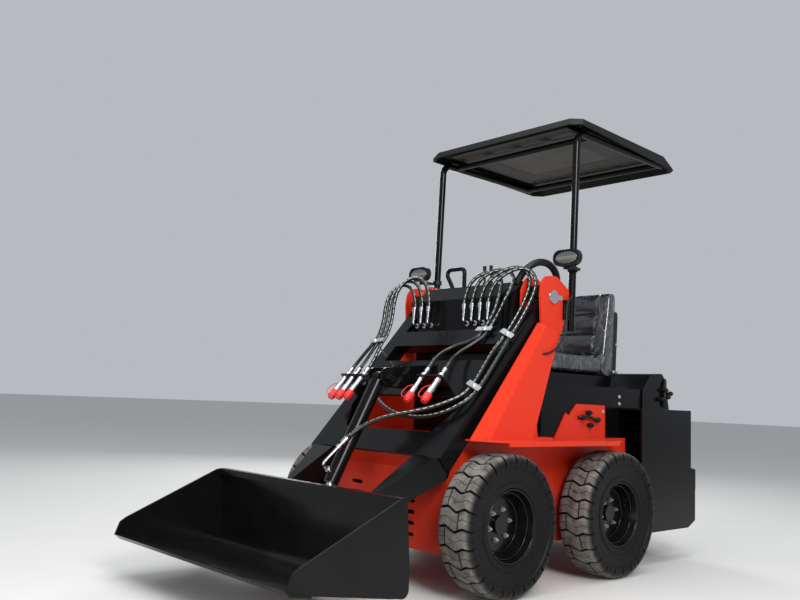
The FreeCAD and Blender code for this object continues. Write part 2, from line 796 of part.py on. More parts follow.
def tilt_port():
    """Steel elbow on the tilt barrel, up to the ferrule of its hose."""
    foot, out, corner = tilt_port_corner()
    end = on_face(*tilt_route[-1])
    line = tilt_port_line()
    pipe = bent_tube([foot + out * (tilt_bore_radius - 1), corner, end + line * 30], hose_radius - 2, 16)
    nut = rod(foot + out * (tilt_bore_radius - 1), foot + out * (tilt_bore_radius + 14),
              hose_radius + 4)
    ferrule = spindle([(0, 32, hose_radius + 3), (46, 60, hose_radius + 3)], end, line)
    body = joined([pipe, nut, ferrule])
    base = V(0, tilt_top_y, tilt_top_z)
    along = (foot - base).normalize()
    return body.cut(rod(foot - along * 60, foot + along * 60, tilt_bore_radius))


def hose_clamps():
    """White plates over pairs of hoses, each on a bolt that stands between them."""
    pieces = []
    for x, along, ahead, turn, shift in clamps:
        half, wide = clamp_length / 2.0, clamp_width / 2.0
        plate = face_slab([(x - half, along - wide, 4), (x + half, along - wide, 4),
                           (x + half, along + wide, 4), (x - half, along + wide, 4)],
                          ahead, ahead + clamp_sheet)
        plate.rotate(on_face(x, along, 0), into_arm, turn)
        foot = V(x + shift, 0, 0)
        bolt = rod(on_face(0, along, 0) + foot, on_face(0, along, ahead + clamp_sheet + 5) + foot,
                   clamp_bolt_radius)
        head = rod(on_face(0, along, ahead + clamp_sheet) + foot,
                   on_face(0, along, ahead + clamp_sheet + 5) + foot, clamp_bolt_radius + 4)
        pieces.append(joined([plate, bolt, head]))
    return Part.makeCompound(pieces)


# Hydraulic cylinders: the barrel hangs on its base pin and the rod slides along the axis

def lift_eye():
    return (V(0, pivot_y, pivot_z) - up_arm * lift_eye_along
            + into_arm * (lift_eye_depth - arm_depth / 3.0))


def barrel(base, eye, x, bore_radius, rod_radius, length):
    along = (eye - base).normalize()
    centre = V(x, base.y, base.z)
    body = rod(centre + along * 20, centre + along * length, bore_radius)
    inside = rod(centre + along * 45, centre + along * (length - 30), bore_radius - barrel_wall)
    gland = rod(centre + along * (length - 31), centre + along * (length + 1),
                rod_radius + running_gap)
    lug = rod(V(x - eye_width / 2, base.y, base.z), V(x + eye_width / 2, base.y, base.z), 26)
    body = joined([body.cut(inside).cut(gland), lug])
    return body.cut(rod(V(x - 40, base.y, base.z), V(x + 40, base.y, base.z),
                        lug_pin_radius + running_gap))


def piston_rod(base, eye, x, bore_radius, rod_radius):
    along = (eye - base).normalize()
    centre = V(x, eye.y, eye.z)
    length = (eye - base).Length
    shaft = rod(centre - along * (length - rod_tail), centre - along * 18, rod_radius)
    lug = rod(V(x - eye_width / 2, eye.y, eye.z), V(x + eye_width / 2, eye.y, eye.z), 24)
    body = joined([shaft, lug])
    return body.cut(rod(V(x - 40, eye.y, eye.z), V(x + 40, eye.y, eye.z), rod_eye_radius))


# Bucket

def bucket():
    sheet = bucket_sheet
    floor_rise = (lip_z - bucket_heel_z) / (bucket_back_y - lip_y)
    shell = slab([(lip_y + 60, lip_z - 60 * floor_rise - sheet), (lip_y + 60, lip_z - 60 * floor_rise),
                  (bucket_back_y, bucket_heel_z + sheet, 40), (bucket_back_y, bucket_top_z - 6),
                  (bucket_back_y + sheet, bucket_top_z - 6), (bucket_back_y + sheet, bucket_heel_z, 50)],
                 "x", -bucket_half + sheet, bucket_half - sheet)
    side_outline = [(lip_y + 4, lip_z - 4), (lip_y + 24, lip_z + 50, 20), (lip_y + 52, lip_z + 68, 20),
                    (bucket_back_y - 24, bucket_top_z, 20), (bucket_back_y + 2, bucket_top_z - 20, 15),
                    (bucket_back_y + 20, bucket_heel_z + 135), (bucket_back_y + 24, bucket_heel_z, 30)]
    side = slab(side_outline, "x", bucket_half - sheet, bucket_half)
    blade = slab([(lip_y, lip_z), (lip_y + edge_length, lip_z - edge_length * floor_rise),
                  (lip_y + edge_length, lip_z - edge_length * floor_rise - edge_thick),
                  (lip_y + 24, lip_z - 24 * floor_rise - edge_thick)], "x",
                 -bucket_half + sheet, bucket_half - sheet)
    rail = block(-bucket_half + sheet, bucket_half - sheet, bucket_back_y - 24, bucket_back_y + sheet,
                 bucket_top_z - 26, bucket_top_z)
    return joined([shell, side, other_side(side), blade, rail])


def quick_attach():
    """Frame on the bucket's back, with hinge ears for the arms and the tilt rod."""
    face = bucket_back_y + bucket_sheet
    plate = block(-hitch_half, hitch_half, face, face + ear_sheet, hitch_low_z, hitch_high_z)
    ears = []
    for low in (leg_inner_x - 2 - ear_sheet, leg_end_x + 2):
        outline = [(face, 120), (face, 262), (bucket_pin_y + 20, bucket_pin_z + 36, 30),
                   (bucket_pin_y + 36, bucket_pin_z - 36, 34), (bucket_pin_y - 30, 120)]
        ear = slab(outline, "x", low, low + ear_sheet)
        ears += [ear, other_side(ear)]
    inner = eye_width / 2 + ear_gap
    outline = [(face, tilt_eye_z - 55), (face, hitch_high_z), (tilt_eye_y + 25, tilt_eye_z + 34, 28),
               (tilt_eye_y + 30, tilt_eye_z - 34, 28)]
    ear = slab(outline, "x", inner, inner + ear_sheet)
    ears += [ear, other_side(ear)]
    low, high = leg_inner_x - 6 - ear_sheet, leg_end_x + 6 + ear_sheet
    pin = rod(V(low, bucket_pin_y, bucket_pin_z), V(high, bucket_pin_y, bucket_pin_z), lug_pin_radius)
    return joined([plate] + ears + [pin, other_side(pin)])


# Engine end and seat box

def engine_hood():
    """Engine cover with footwell sides that run forwards to the console."""
    outline = [(footwell_front_y, deck_z), (footwell_front_y, hood_top_z, 30), (lid_front_y, hood_top_z),
               (lid_front_y, hood_low_z), (housing_front_y, hood_low_z), (housing_front_y, deck_z)]
    outer = slab(outline, "x", -hood_half, hood_half)
    inner_half = hood_half - hood_sheet
    footwell = block(-inner_half, inner_half, footwell_front_y - 1, hood_front_y, deck_z - 1,
                     hood_top_z + 1)
    inside = block(-inner_half, inner_half, hood_front_y + hood_sheet, housing_front_y,
                   deck_z - 1, hood_top_z - hood_sheet)
    above = block(-inner_half, inner_half, housing_front_y - 1, lid_front_y + 1, hood_low_z - 1,
                  hood_top_z - hood_sheet)
    body = outer.cut(footwell).cut(inside).cut(above)
    for x in (-knuckle_low_x - knuckle_length, knuckle_low_x):
        body = body.cut(rod(V(x - lid_gap, lid_front_y, hood_top_z),
                            V(x + knuckle_length + lid_gap, lid_front_y, hood_top_z),
                            knuckle_radius + lid_gap))
    recess = slab([(recess_front_y, hood_low_z + 2, 8), (recess_front_y, recess_high_z, 8),
                   (lid_front_y - 12, recess_high_z, 8), (lid_front_y - 12, hood_low_z + 2, 8)],
                  "x", hood_half - recess_depth, hood_half + 1)
    return body.cut(recess).cut(other_side(recess))


def side_panel():
    """Panel that stands beside the engine cover, with its notch."""
    outline = [(583, deck_z), (668, 761), (693, 746), (757, hood_low_z + 10, 25),
               (1003, hood_low_z + 8), (1007, deck_z)]
    return slab(outline, "x", hood_half, hood_half + side_sheet)


def rear_hood():
    """Raised lid over the engine, hinged where its front meets the engine cover."""
    front, low = lid_front_y + lid_gap, housing_top_z + soft_gap
    sheet = hood_sheet
    outline = [(front, low), (front, hood_top_z), (lid_slope_y, lid_top_z - 6, 20),
               (lid_flat_y, lid_top_z, 20), (lid_bend_y, lid_bend_z, 40), (lid_rear_y, low)]
    outer = slab(outline, "x", -hood_half - side_sheet, hood_half + side_sheet)
    knuckles = [rod(V(x, lid_front_y, hood_top_z), V(x + knuckle_length, lid_front_y, hood_top_z),
                    knuckle_radius)
                for x in (-knuckle_low_x - knuckle_length, knuckle_low_x)]
    hollow = [(front + sheet, low - 1), (front + sheet, hood_top_z - 3),
              (lid_slope_y + 3, lid_top_z - 6 - sheet), (lid_flat_y - 3, lid_top_z - sheet),
              (lid_bend_y - sheet, lid_bend_z - 3), (lid_rear_y - sheet, low - 1)]
    inside = slab(hollow, "x", -hood_half, hood_half)
    return joined([outer.cut(inside)] + knuckles)


def rear_housing():
    outline = [(housing_front_y, split_z), (housing_front_y, housing_top_z),
               (housing_rear_y, housing_top_z, 6), (housing_rear_y, housing_step_z),
               (housing_step_y, housing_step_z - 10, 6), (housing_step_y, split_z)]
    outer = slab(outline, "x", -housing_half, housing_half)
    inside = block(-housing_half + wall, housing_half - wall, housing_front_y - 1,
                   housing_rear_y - wall, split_z + wall, housing_top_z - wall)
    hatch = block(-320, 320, lid_front_y + 30, housing_rear_y - 40, housing_top_z - 20,
                  housing_top_z + 1)
    body = outer.cut(inside).cut(hatch)
    for row in range(louvre_rows):
        z = louvre_low_z + row * louvre_pitch
        outline = [(-louvre_half, z, 6), (-louvre_half, z + louvre_height, 6),
                   (louvre_half, z + louvre_height, 6), (louvre_half, z, 6)]
        body = body.cut(slab(outline, "y", housing_rear_y - wall - 2, housing_rear_y + 2))
    return body


def counterweight():
    outline = [(housing_front_y, ballast_floor_z), (housing_front_y, split_z),
               (housing_step_y - 3, split_z), (housing_step_y - 4, ballast_floor_z + 34),
               (housing_step_y - 80, ballast_floor_z)]
    outer = slab(outline, "x", -housing_half, housing_half)
    inside = block(-housing_half + ballast_wall, housing_half - ballast_wall,
                   housing_front_y + ballast_wall, housing_step_y - 80 - ballast_wall,
                   ballast_floor_z + ballast_wall, split_z + 1)
    return outer.cut(inside)


def seat_pan():
    outline = [(seat_front_y + 20, hood_top_z), (seat_front_y, pan_top_z, 12),
               (seat_rear_y - 40, pan_top_z, 12), (seat_rear_y - 60, hood_top_z)]
    half = seat_half - pan_in
    base = slab(outline, "x", -half, half)
    inside = block(-half + seat_sheet, half - seat_sheet, seat_front_y + 20 + seat_sheet,
                   seat_rear_y - 60 - seat_sheet, hood_top_z - 1, pan_top_z - seat_sheet)
    return base.cut(inside)


def seat_cushion():
    low = pan_top_z + soft_gap
    outline = [(seat_front_y, low, 25), (seat_front_y, cushion_top_z, 45),
               (seat_rear_y - back_thick, cushion_top_z - 10), (seat_rear_y - back_thick, low)]
    return slab(outline, "x", -seat_half, seat_half)


def seat_back():
    low = pan_top_z + soft_gap
    near = seat_rear_y - back_thick + soft_gap
    outline = [(near, low), (near, cushion_top_z), (near + 55, back_top_z, 40),
               (seat_rear_y, back_top_z, 60), (seat_rear_y - 20, low, 30)]
    return slab(outline, "x", -seat_half, seat_half)


# Operator's console

def console():
    outline = [(console_front_y, deck_z), (console_front_y, console_low_z),
               (console_front_y + console_slope_run, console_top_z, 10),
               (console_rear_y, console_top_z, 10),
               (console_rear_y, console_low_z - 60), (console_front_y + 8, console_low_z - 160),
               (console_front_y + 8, deck_z)]
    sheet = console_sheet
    inside = [(console_front_y + sheet, console_low_z - 130), (console_front_y + sheet, console_low_z),
              (console_front_y + console_slope_run, console_top_z - sheet),
              (console_rear_y - sheet, console_top_z - sheet),
              (console_rear_y - sheet, console_low_z - 58)]
    head = slab(inside, "x", -console_half + sheet, console_half - sheet)
    return slab(outline, "x", -console_half, console_half).cut(head)


def control_levers():
    pieces = []
    for x in lever_xs:
        knee = V(x, lever_y, console_top_z + 18)
        tip = V(x + 6, lever_y - 11, console_top_z + 95)
        lean = (tip - knee).normalize()
        boot = Part.makeCone(14, 7, 18, V(x, lever_y, console_top_z), V(0, 0, 1))
        grip = rod(tip - lean * 46, tip, 9)
        pieces.append(joined([boot, rod(knee - lean * 4, tip - lean * 40, 5), grip]))
    return Part.makeCompound(pieces)


def grab_handle():
    top = console_top_z + 98
    points = [V(-85, 400, console_top_z), V(-85, 400, top), V(-225, 400, top), V(-165, 400, console_top_z)]
    bar = bent_tube(points, 11, 24)
    return bar.cut(block(-300, 0, 350, 450, console_top_z - 30, console_top_z))


def pipe_end(x):
    """Upper end of a bent pipe, where its hose begins."""
    return V(x, console_front_y - pipe_out + 6, pipe_z + pipe_rise)


def pipe_ends():
    """Bent steel hose ends that stand out of the console's front."""
    pieces = []
    for x in pipe_xs:
        corner = V(x, console_front_y - pipe_out, pipe_z)
        end = pipe_end(x)
        up = (end - corner).normalize()
        elbow_tube = bent_tube([V(x, console_front_y, pipe_z), corner, end - up * 30], pipe_radius - 2, 22)
        ferrule = spindle([(-34, -24, pipe_radius), (-24, 0, hose_radius + 3)], end, up)
        nut = rod(V(x, console_front_y, pipe_z), V(x, console_front_y - 14, pipe_z), pipe_radius + 4)
        pieces.append(joined([elbow_tube, ferrule, nut]))
    return Part.makeCompound(pieces)


# Canopy

def roof_tube_z(y):
    """Height of the roof tubes' centre line, which rises a little towards the rear."""
    return roof_frame_z + roof_rise * (y - post_top_y) / (roof_rear_y - post_top_y)


def canopy_post(radius):
    path = [V(post_x, post_foot_y, post_foot_z), V(post_x, post_top_y, roof_frame_z),
            V(post_x, roof_rear_y, roof_tube_z(roof_rear_y))]
    return bent_tube(path, radius, post_bend)


def canopy_frame():
    """Two bent posts, cross tubes and the plates that bolt the posts to the towers."""
    tube = canopy_post(post_radius)
    foot_x = cheek_x + cheek_sheet
    plate = block(foot_x, foot_x + 8, post_foot_y - 65, post_foot_y, tower_seam_z + 20,
                  tower_seam_z + 115)
    tubes = [tube, other_side(tube), plate, other_side(plate)]
    for y in (post_top_y + 110, roof_rear_y - 25):
        z = roof_tube_z(y)
        tubes.append(rod(V(-post_x, y, z), V(post_x, y, z), post_radius - 2))
    return joined(tubes)


def canopy_shell():
    """Moulded roof, open below: clipped corners, a raised panel and ribs between the tubes."""
    low = roof_frame_z + 8
    high = low + canopy_rise

    def ring(front, rear, front_half, rear_half, front_z, rear_z):
        clip = canopy_corner
        points = [V(front_half - clip, front, front_z), V(front_half, front + clip, front_z),
                  V(rear_half, rear - clip, rear_z), V(rear_half - clip, rear, rear_z)]
        points += [V(-p.x, p.y, p.z) for p in reversed(points)]
        return Part.makePolygon(points + points[:1])

    def dish(inset, drop, top):
        skirt = ring(canopy_front_y + inset, canopy_rear_y - inset, canopy_front_half - inset,
                     canopy_rear_half - inset, low - drop, low - drop)
        crown = ring(canopy_front_y + 45 + inset, canopy_rear_y - 70 - inset,
                     canopy_front_half - 30 - inset, canopy_rear_half - 22 - inset, top, top)
        return Part.makeLoft([skirt, crown], True, True)

    def pad(inset, bottom, top):
        foot = ring(canopy_front_y + 120 + inset, canopy_rear_y - 150 - inset,
                    canopy_front_half - 95 - inset, canopy_rear_half - 80 - inset, bottom, bottom)
        crest = ring(canopy_front_y + 132 + inset, canopy_rear_y - 162 - inset,
                     canopy_front_half - 107 - inset, canopy_rear_half - 92 - inset, top, top)
        return Part.makeLoft([foot, crest], True, True)

    ceiling = high - canopy_sheet
    shell = dish(0, canopy_rear_drop, high).fuse(pad(0, high - 1, high + canopy_front_lift))
    shell = shell.cut(dish(canopy_sheet, canopy_rear_drop + 1, ceiling))
    shell = shell.cut(pad(canopy_sheet, ceiling - 1, ceiling + canopy_front_lift))
    front_cut = slab([(canopy_front_y - 1, low - canopy_rear_drop - 2), (canopy_front_y - 1, low + canopy_front_lift),
                      (canopy_rear_y - 60, low - canopy_rear_drop), (canopy_rear_y - 60, low - canopy_rear_drop - 2)],
                     "x", -canopy_front_half - 1, canopy_front_half + 1)
    shell = shell.cut(front_cut)
    rib_front, rib_rear = post_top_y + 70, roof_rear_y - 10
    seat = roof_tube_z(rib_rear) + post_radius + soft_gap / 2
    ribs = [block(x - 16, x + 16, rib_front, rib_rear, seat, ceiling + 1)
            for x in (-post_x + 6, post_x - 6)]
    return joined([shell] + ribs)


# Lamps

def work_lamp():
    """Oval lamp facing forwards, on a bar clamped to the post."""
    lean = V(0, post_top_y - post_foot_y, roof_frame_z - post_foot_z).normalize()
    at_post = V(post_x, post_foot_y, post_foot_z) + lean * (lamp_z - 50 - post_foot_z)
    centre = V(lamp_x, lamp_y, lamp_z)
    half_face = lamp_face / 2.0

    def oval(inset, front, rear):
        half_w, half_h = lamp_width / 2.0 - inset, lamp_height / 2.0 - inset
        corners = [(centre.x - half_w, centre.z - half_h), (centre.x - half_w, centre.z + half_h),
                   (centre.x + half_w, centre.z + half_h), (centre.x + half_w, centre.z - half_h)]
        return slab([(u, v, half_h - 1) for u, v in corners], "y", front, rear)

    face = oval(0, centre.y - half_face, centre.y + half_face)
    face = face.cut(oval(lamp_rim, centre.y - half_face - 1, centre.y - half_face + lamp_rim))
    back = Part.makeCone(lamp_height / 2.0 - 2, lamp_height / 2.0 - 16, 34,
                         centre + V(0, half_face, 0), V(0, 1, 0))
    stalk = block(centre.x - 10, centre.x + 10, centre.y + 8, centre.y + 20, lamp_z - 55, lamp_z - 20)
    arm = block(post_x + post_radius - 6, centre.x + 10, centre.y + 8, post_foot_y, lamp_z - 50,
                lamp_z - 38)
    grip = rod(at_post, at_post + lean * 22, post_radius + 7)
    hollow = rod(at_post - lean * 40, at_post + lean * 60, post_radius + soft_gap)
    return joined([face, back, stalk, arm.cut(hollow), grip.cut(hollow)])


def place(shape):
    moved = shape.copy()
    moved.translate(V(0, -middle_y, 0))
    return moved


def build():
    nodes = {}
    tyre_shape, rim_shape = tyre(wheel_x), rim(wheel_x)
    for end, y in (("front", 0.0), ("rear", wheel_base)):
        for side in ("left", "right"):
            for name, shape in (("tyre", tyre_shape), ("rim", rim_shape)):
                piece = shape.copy()
                piece.translate(V(0, y, 0))
                nodes[f"{name}_{end}_{side}"] = piece if side == "left" else other_side(piece)
    hubs = [hub_housing(y) for y in (0.0, wheel_base)]
    nodes["axle_hubs"] = Part.makeCompound(hubs + [other_side(h) for h in hubs])
    nodes["chassis_frame"] = chassis_frame()
    nodes["fenders"] = both_sides(fender())
    nodes["deck_plate"] = deck_plate()
    left_tower = tower_left()
    nodes["tower_left"], nodes["tower_right"] = left_tower, other_side(left_tower)
    nodes["pivot_pins"] = both_sides(pivot_pin())
    left_arm = arm_left()
    nodes["arm_left"], nodes["arm_right"] = left_arm, other_side(left_arm)
    nodes["arm_cross_members"] = arm_cross_members()
    nodes["arm_couplers"] = arm_couplers()
    nodes["coupler_caps"] = coupler_caps()
    nodes["hose_clamps"] = hose_clamps()
    nodes["arm_hoses"], nodes["loop_hoses"], nodes["tilt_hose"] = hoses()
    base, eye = V(0, lift_base_y, lift_base_z), lift_eye()
    lift_length = (eye - base).Length - lift_dead_length
    left_barrel = barrel(base, eye, lift_x, lift_bore_radius, lift_rod_radius, lift_length)
    left_rod = piston_rod(base, eye, lift_x, lift_bore_radius, lift_rod_radius)
    nodes["lift_barrel_left"], nodes["lift_barrel_right"] = left_barrel, other_side(left_barrel)
    nodes["lift_rod_left"], nodes["lift_rod_right"] = left_rod, other_side(left_rod)
    tilt_base, tilt_eye = V(0, tilt_top_y, tilt_top_z), V(0, tilt_eye_y, tilt_eye_z)
    tilt_length = (tilt_eye - tilt_base).Length - tilt_dead_length
    nodes["tilt_barrel"] = barrel(tilt_base, tilt_eye, 0, tilt_bore_radius, tilt_rod_radius,
                                  tilt_length)
    nodes["tilt_port"] = tilt_port()
    nodes["tilt_rod"] = piston_rod(tilt_base, tilt_eye, 0, tilt_bore_radius, tilt_rod_radius)
    nodes["bucket"] = bucket()
    nodes["quick_attach"] = quick_attach()
    nodes["engine_hood"] = engine_hood()
    nodes["side_panels"] = both_sides(side_panel())
    nodes["rear_hood"] = rear_hood()
    nodes["rear_housing"] = rear_housing()
    nodes["counterweight"] = counterweight()
    nodes["engine_block"] = block(-engine_half, engine_half, housing_front_y,
                                  housing_front_y + engine_length, split_z + wall,
                                  split_z + wall + engine_height)
    nodes["seat_pan"] = seat_pan()
    nodes["seat_cushion"] = seat_cushion()
    nodes["seat_back"] = seat_back()
    nodes["console"] = console()
    nodes["control_levers"] = control_levers()
    nodes["grab_handle"] = grab_handle()
    nodes["pipe_ends"] = pipe_ends()
    nodes["canopy_frame"] = canopy_frame()
    nodes["canopy_shell"] = canopy_shell()
    nodes["work_lamps"] = both_sides(work_lamp())
    return nodes


def main():
    os.makedirs("parts", exist_ok=True)
    for name, shape in build().items():
        place(shape).exportStep(f"parts/{name}.step")


main()
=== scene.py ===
import json
import math

import bmesh
import bpy
import numpy as np
from mathutils import Matrix, Vector


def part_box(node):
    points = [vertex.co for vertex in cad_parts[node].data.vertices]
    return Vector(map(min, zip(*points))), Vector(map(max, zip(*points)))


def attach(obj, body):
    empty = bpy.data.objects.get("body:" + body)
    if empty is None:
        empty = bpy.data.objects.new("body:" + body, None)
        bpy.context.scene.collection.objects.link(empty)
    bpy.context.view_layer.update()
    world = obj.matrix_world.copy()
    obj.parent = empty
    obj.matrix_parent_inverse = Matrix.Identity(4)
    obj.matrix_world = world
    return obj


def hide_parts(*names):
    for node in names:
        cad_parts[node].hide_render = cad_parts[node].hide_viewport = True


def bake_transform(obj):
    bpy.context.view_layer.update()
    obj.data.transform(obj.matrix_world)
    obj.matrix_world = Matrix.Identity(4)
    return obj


# Looks for the skid steer loader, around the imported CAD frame. Metres, bucket towards -Y.

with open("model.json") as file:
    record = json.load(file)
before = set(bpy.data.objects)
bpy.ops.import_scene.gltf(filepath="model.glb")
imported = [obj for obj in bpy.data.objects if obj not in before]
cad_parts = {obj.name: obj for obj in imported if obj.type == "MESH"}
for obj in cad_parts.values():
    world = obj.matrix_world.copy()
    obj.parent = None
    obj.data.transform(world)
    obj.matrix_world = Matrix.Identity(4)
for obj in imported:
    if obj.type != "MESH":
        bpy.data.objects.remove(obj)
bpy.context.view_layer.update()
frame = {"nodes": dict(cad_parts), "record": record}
nodes = frame["nodes"]
scene = bpy.context.scene

# camera, as the photo was taken

photo = {
    "place": (2.839, -3.023, 0.794),
    "turn": 47.36,      # degrees to the left of +Y
    "tilt": 6.75,       # degrees up
    "roll": 2.42,       # degrees
    "lens": 37.64,      # mm
    "sensor": 36,       # mm across
}


def photoCamera():
    turn, tilt, roll = (math.radians(photo[k]) for k in ("turn", "tilt", "roll"))
    ahead = Vector((-math.sin(turn) * math.cos(tilt), math.cos(turn) * math.cos(tilt), math.sin(tilt)))
    level = Vector((math.cos(turn), math.sin(turn), 0))
    upright = level.cross(ahead)
    right = level * math.cos(roll) + upright * math.sin(roll)
    up = upright * math.cos(roll) - level * math.sin(roll)
    data = bpy.data.cameras.new("photoCamera")
    data.lens = photo["lens"]
    data.sensor_width = photo["sensor"]
    camera = bpy.data.objects.new("photoCamera", data)
    scene.collection.objects.link(camera)
    facing = Matrix((right, up, -ahead)).transposed().to_4x4()
    camera.matrix_world = Matrix.Translation(photo["place"]) @ facing
    scene.camera = camera


photoCamera()
print("camera set")

# mesh helpers


def surface(name, points, across=None, down=None, roundRows=False, roundColumns=False, sharp=None):
    # quads between neighbours of each (rows, columns) grid of points; across and down are its own UV,
    # one value a grid line. A grid whose columns close is capped at its first and last row.
    grids = points.reshape((-1,) + points.shape[-3:])
    count, rows, columns = grids.shape[:3]
    i, j = np.meshgrid(np.arange(rows if roundRows else rows - 1),
                       np.arange(columns if roundColumns else columns - 1), indexing="ij")
    steps = ((0, 0), (0, 1), (1, 1), (1, 0))
    quads = np.stack([(i + a) % rows * columns + (j + b) % columns for a, b in steps], -1).reshape(-1, 4)
    first = np.arange(count) * rows * columns
    faces = (quads[None] + first[:, None, None]).reshape(-1, 4).tolist()
    if roundColumns and not roundRows:
        ring = np.arange(columns)
        faces += (ring[::-1] + first[:, None]).tolist()
        faces += (ring + (rows - 1) * columns + first[:, None]).tolist()
    mesh = bpy.data.meshes.new(name)
    mesh.from_pydata(grids.reshape(-1, 3).tolist(), [], faces)
    if down is not None:
        layer = mesh.uv_layers.new(name="own")
        spread = np.stack([np.broadcast_arrays(down[i + a], across[j + b]) for a, b in steps], -1)
        pairs = np.moveaxis(spread, 0, -1).reshape(-1, 2)
        own = np.zeros((len(mesh.loops), 2))
        own[:len(pairs) * count] = np.tile(pairs, (count, 1))
        layer.data.foreach_set("uv", own.ravel())
    mesh.polygons.foreach_set("use_smooth", [True] * len(mesh.polygons))
    if sharp is not None:
        mesh.set_sharp_from_angle(angle=math.radians(sharp))
    if roundRows or roundColumns:
        solid = bmesh.new()
        solid.from_mesh(mesh)
        if solid.calc_volume(signed=True) < 0:
            mesh.flip_normals()
        solid.free()
    piece = bpy.data.objects.new(name, mesh)
    scene.collection.objects.link(piece)
    return piece


def unit(vectors):
    # each vector over its own length
    return vectors / np.linalg.norm(vectors, axis=-1, keepdims=True)


def lathe(name, profile, sides, places, aim, sharp):
    # place + h aim + r (cos a side + sin a up), for each place, profile step (r, h) and side a
    askew = (0.0, 0.31, 1.0)    # any direction that no bolt points along
    r, h = np.array(profile, float).T
    a = np.linspace(0, 2 * np.pi, sides, endpoint=False)
    aim = unit(np.array(aim, float))
    side = unit(np.cross(aim, askew))
    up = np.cross(aim, side)
    ring = np.cos(a)[:, None] * side + np.sin(a)[:, None] * up
    shape = h[:, None, None] * aim + r[:, None, None] * ring
    places = np.array(places, float).reshape(-1, 1, 1, 3)
    return surface(name, places + shape, roundColumns=True, sharp=sharp)


# hoses: the same routes as the part's solids, in its drawn millimetres

drawing = {
    "perMetre": 1000,
    "origin": (0, 0.285, 0),        # the frame's origin in metres, seen from the front axle
    "armStep": (0.6665, 0.7455),    # y and z of one step up the arms' plate
    "armFoot": (-265, 562),         # y and z where the plate starts
}

hoses = {
    "radius": 0.009,
    "sides": 18,
    "cuts": 7,                  # steps of the line between two points of a route
    "stub": 27.0,               # straight run out of each fitting
    "elbow": (269.0, 1273.0),   # y and z of the elbows on the console
    "lean": 2,                  # of a loop's first straight run
    "tiltBend": 8,              # point of the tilt hose where it leaves the arms
    # real lengths between the fittings and clamps, in metres, by the elbow's x or the name
    "lengths": {200: 0.658, 148: 0.688, 96: 0.632, 44: 0.591, -310: 0.508, -258: 0.548, -206: 0.589,
                "manifold": 1.128, "farOuter": 0.195, "farMiddle": 0.186, "farInner": 0.183,
                "nearInner": 0.370, "nearOuter": 0.339, "tilt": 0.939},
    # by the elbow's x: free points, then the clamp and the end on the arms' face
    "loops": {
        200: ([(226, 280, 1364), (266, 294, 1402), (314, 318, 1430), (360, 345, 1436),
               (394, 366, 1408), (408, 368, 1359), (412, 346, 1312)], [(412, 880, 30), (412, 722, 20)]),
        148: ([(172, 282, 1368), (212, 300, 1408), (262, 326, 1438), (312, 352, 1446),
               (350, 368, 1424), (368, 374, 1380), (375, 352, 1326)], [(377, 880, 31), (376, 722, 20)]),
        96: ([(116, 280, 1372), (154, 300, 1416), (206, 328, 1440), (258, 350, 1430),
              (294, 346, 1392), (301, 314, 1340), (290, 286, 1288), (266, 274, 1226)], [(240, 751, 12)]),
        44: ([(62, 280, 1370), (98, 298, 1412), (146, 322, 1430), (196, 336, 1418),
              (232, 328, 1376), (243, 302, 1328), (241, 286, 1276), (234, 272, 1220)], [(207, 751, 12)]),
        -310: ([(-326, 262, 1372), (-346, 224, 1392), (-364, 176, 1370), (-374, 138, 1318),
                (-378, 122, 1254), (-378, 116, 1188)], [(-375, 614, 103)]),
        -258: ([(-278, 266, 1384), (-306, 230, 1412), (-328, 180, 1388), (-341, 138, 1330),
                (-346, 122, 1258), (-347, 116, 1190)], [(-344, 614, 103)]),
        -206: ([(-228, 270, 1390), (-262, 238, 1428), (-292, 184, 1406), (-308, 138, 1344),
                (-313, 121, 1266), (-314, 116, 1192)], [(-313, 614, 103)]),
    },
    # on the arms' face: x, distance up the arms, height ahead
    "onArms": {
        "manifold": [(412, 722, 20), (406, 620, 12), (411, 520, 11), (415, 430, 11), (412, 360, 12),
                     (400, 300, 20), (365, 245, 30), (315, 212, 32), (250, 190, 32), (180, 182, 32),
                     (106, 182, 34), (40, 190, 42), (-30, 212, 50), (-100, 250, 52), (-165, 295, 48),
                     (-218, 334, 46)],
        "farOuter": [(-375, 614, 103), (-404, 522, 90), (-432, 434, 75)],
        "farMiddle": [(-344, 614, 103), (-359, 522, 88), (-374, 434, 75)],
        "farInner": [(-313, 614, 103), (-310, 522, 88), (-310, 434, 75)],
        "nearInner": [(207, 751, 12), (198, 704, 14), (170, 672, 18), (130, 646, 26), (98, 606, 38),
                      (87, 556, 52), (96, 504, 67), (112, 434, 75)],
        "nearOuter": [(240, 751, 12), (233, 700, 15), (211, 650, 22), (192, 604, 32), (186, 560, 44),
                      (198, 512, 60), (222, 434, 75)],
    },
    "tilt": [(376, 722, 20), (354, 625, 12), (357, 540, 11), (366, 450, 11), (366, 385, 12),
             (352, 325, 20), (318, 270, 40), (275, 215, 62), (217, 172, 82), (165, 138, 100),
             (112, 92, 122), (72, 40, 140), (48, -8, 152), (33, -66, 160)],
}


def drawn(points):
    # drawn millimetres, with y from the front axle, to the frame's metres
    return np.array(points, float) / drawing["perMetre"] - drawing["origin"]


def onFace(points):
    # x, distance up the arms and height ahead of their plate, to drawn millimetres
    x, along, ahead = np.array(points, float).T
    (stepY, stepZ), (footY, footZ) = drawing["armStep"], drawing["armFoot"]
    return np.stack([x, stepY * along - stepZ * ahead + footY, stepZ * along + stepY * ahead + footZ], 1)


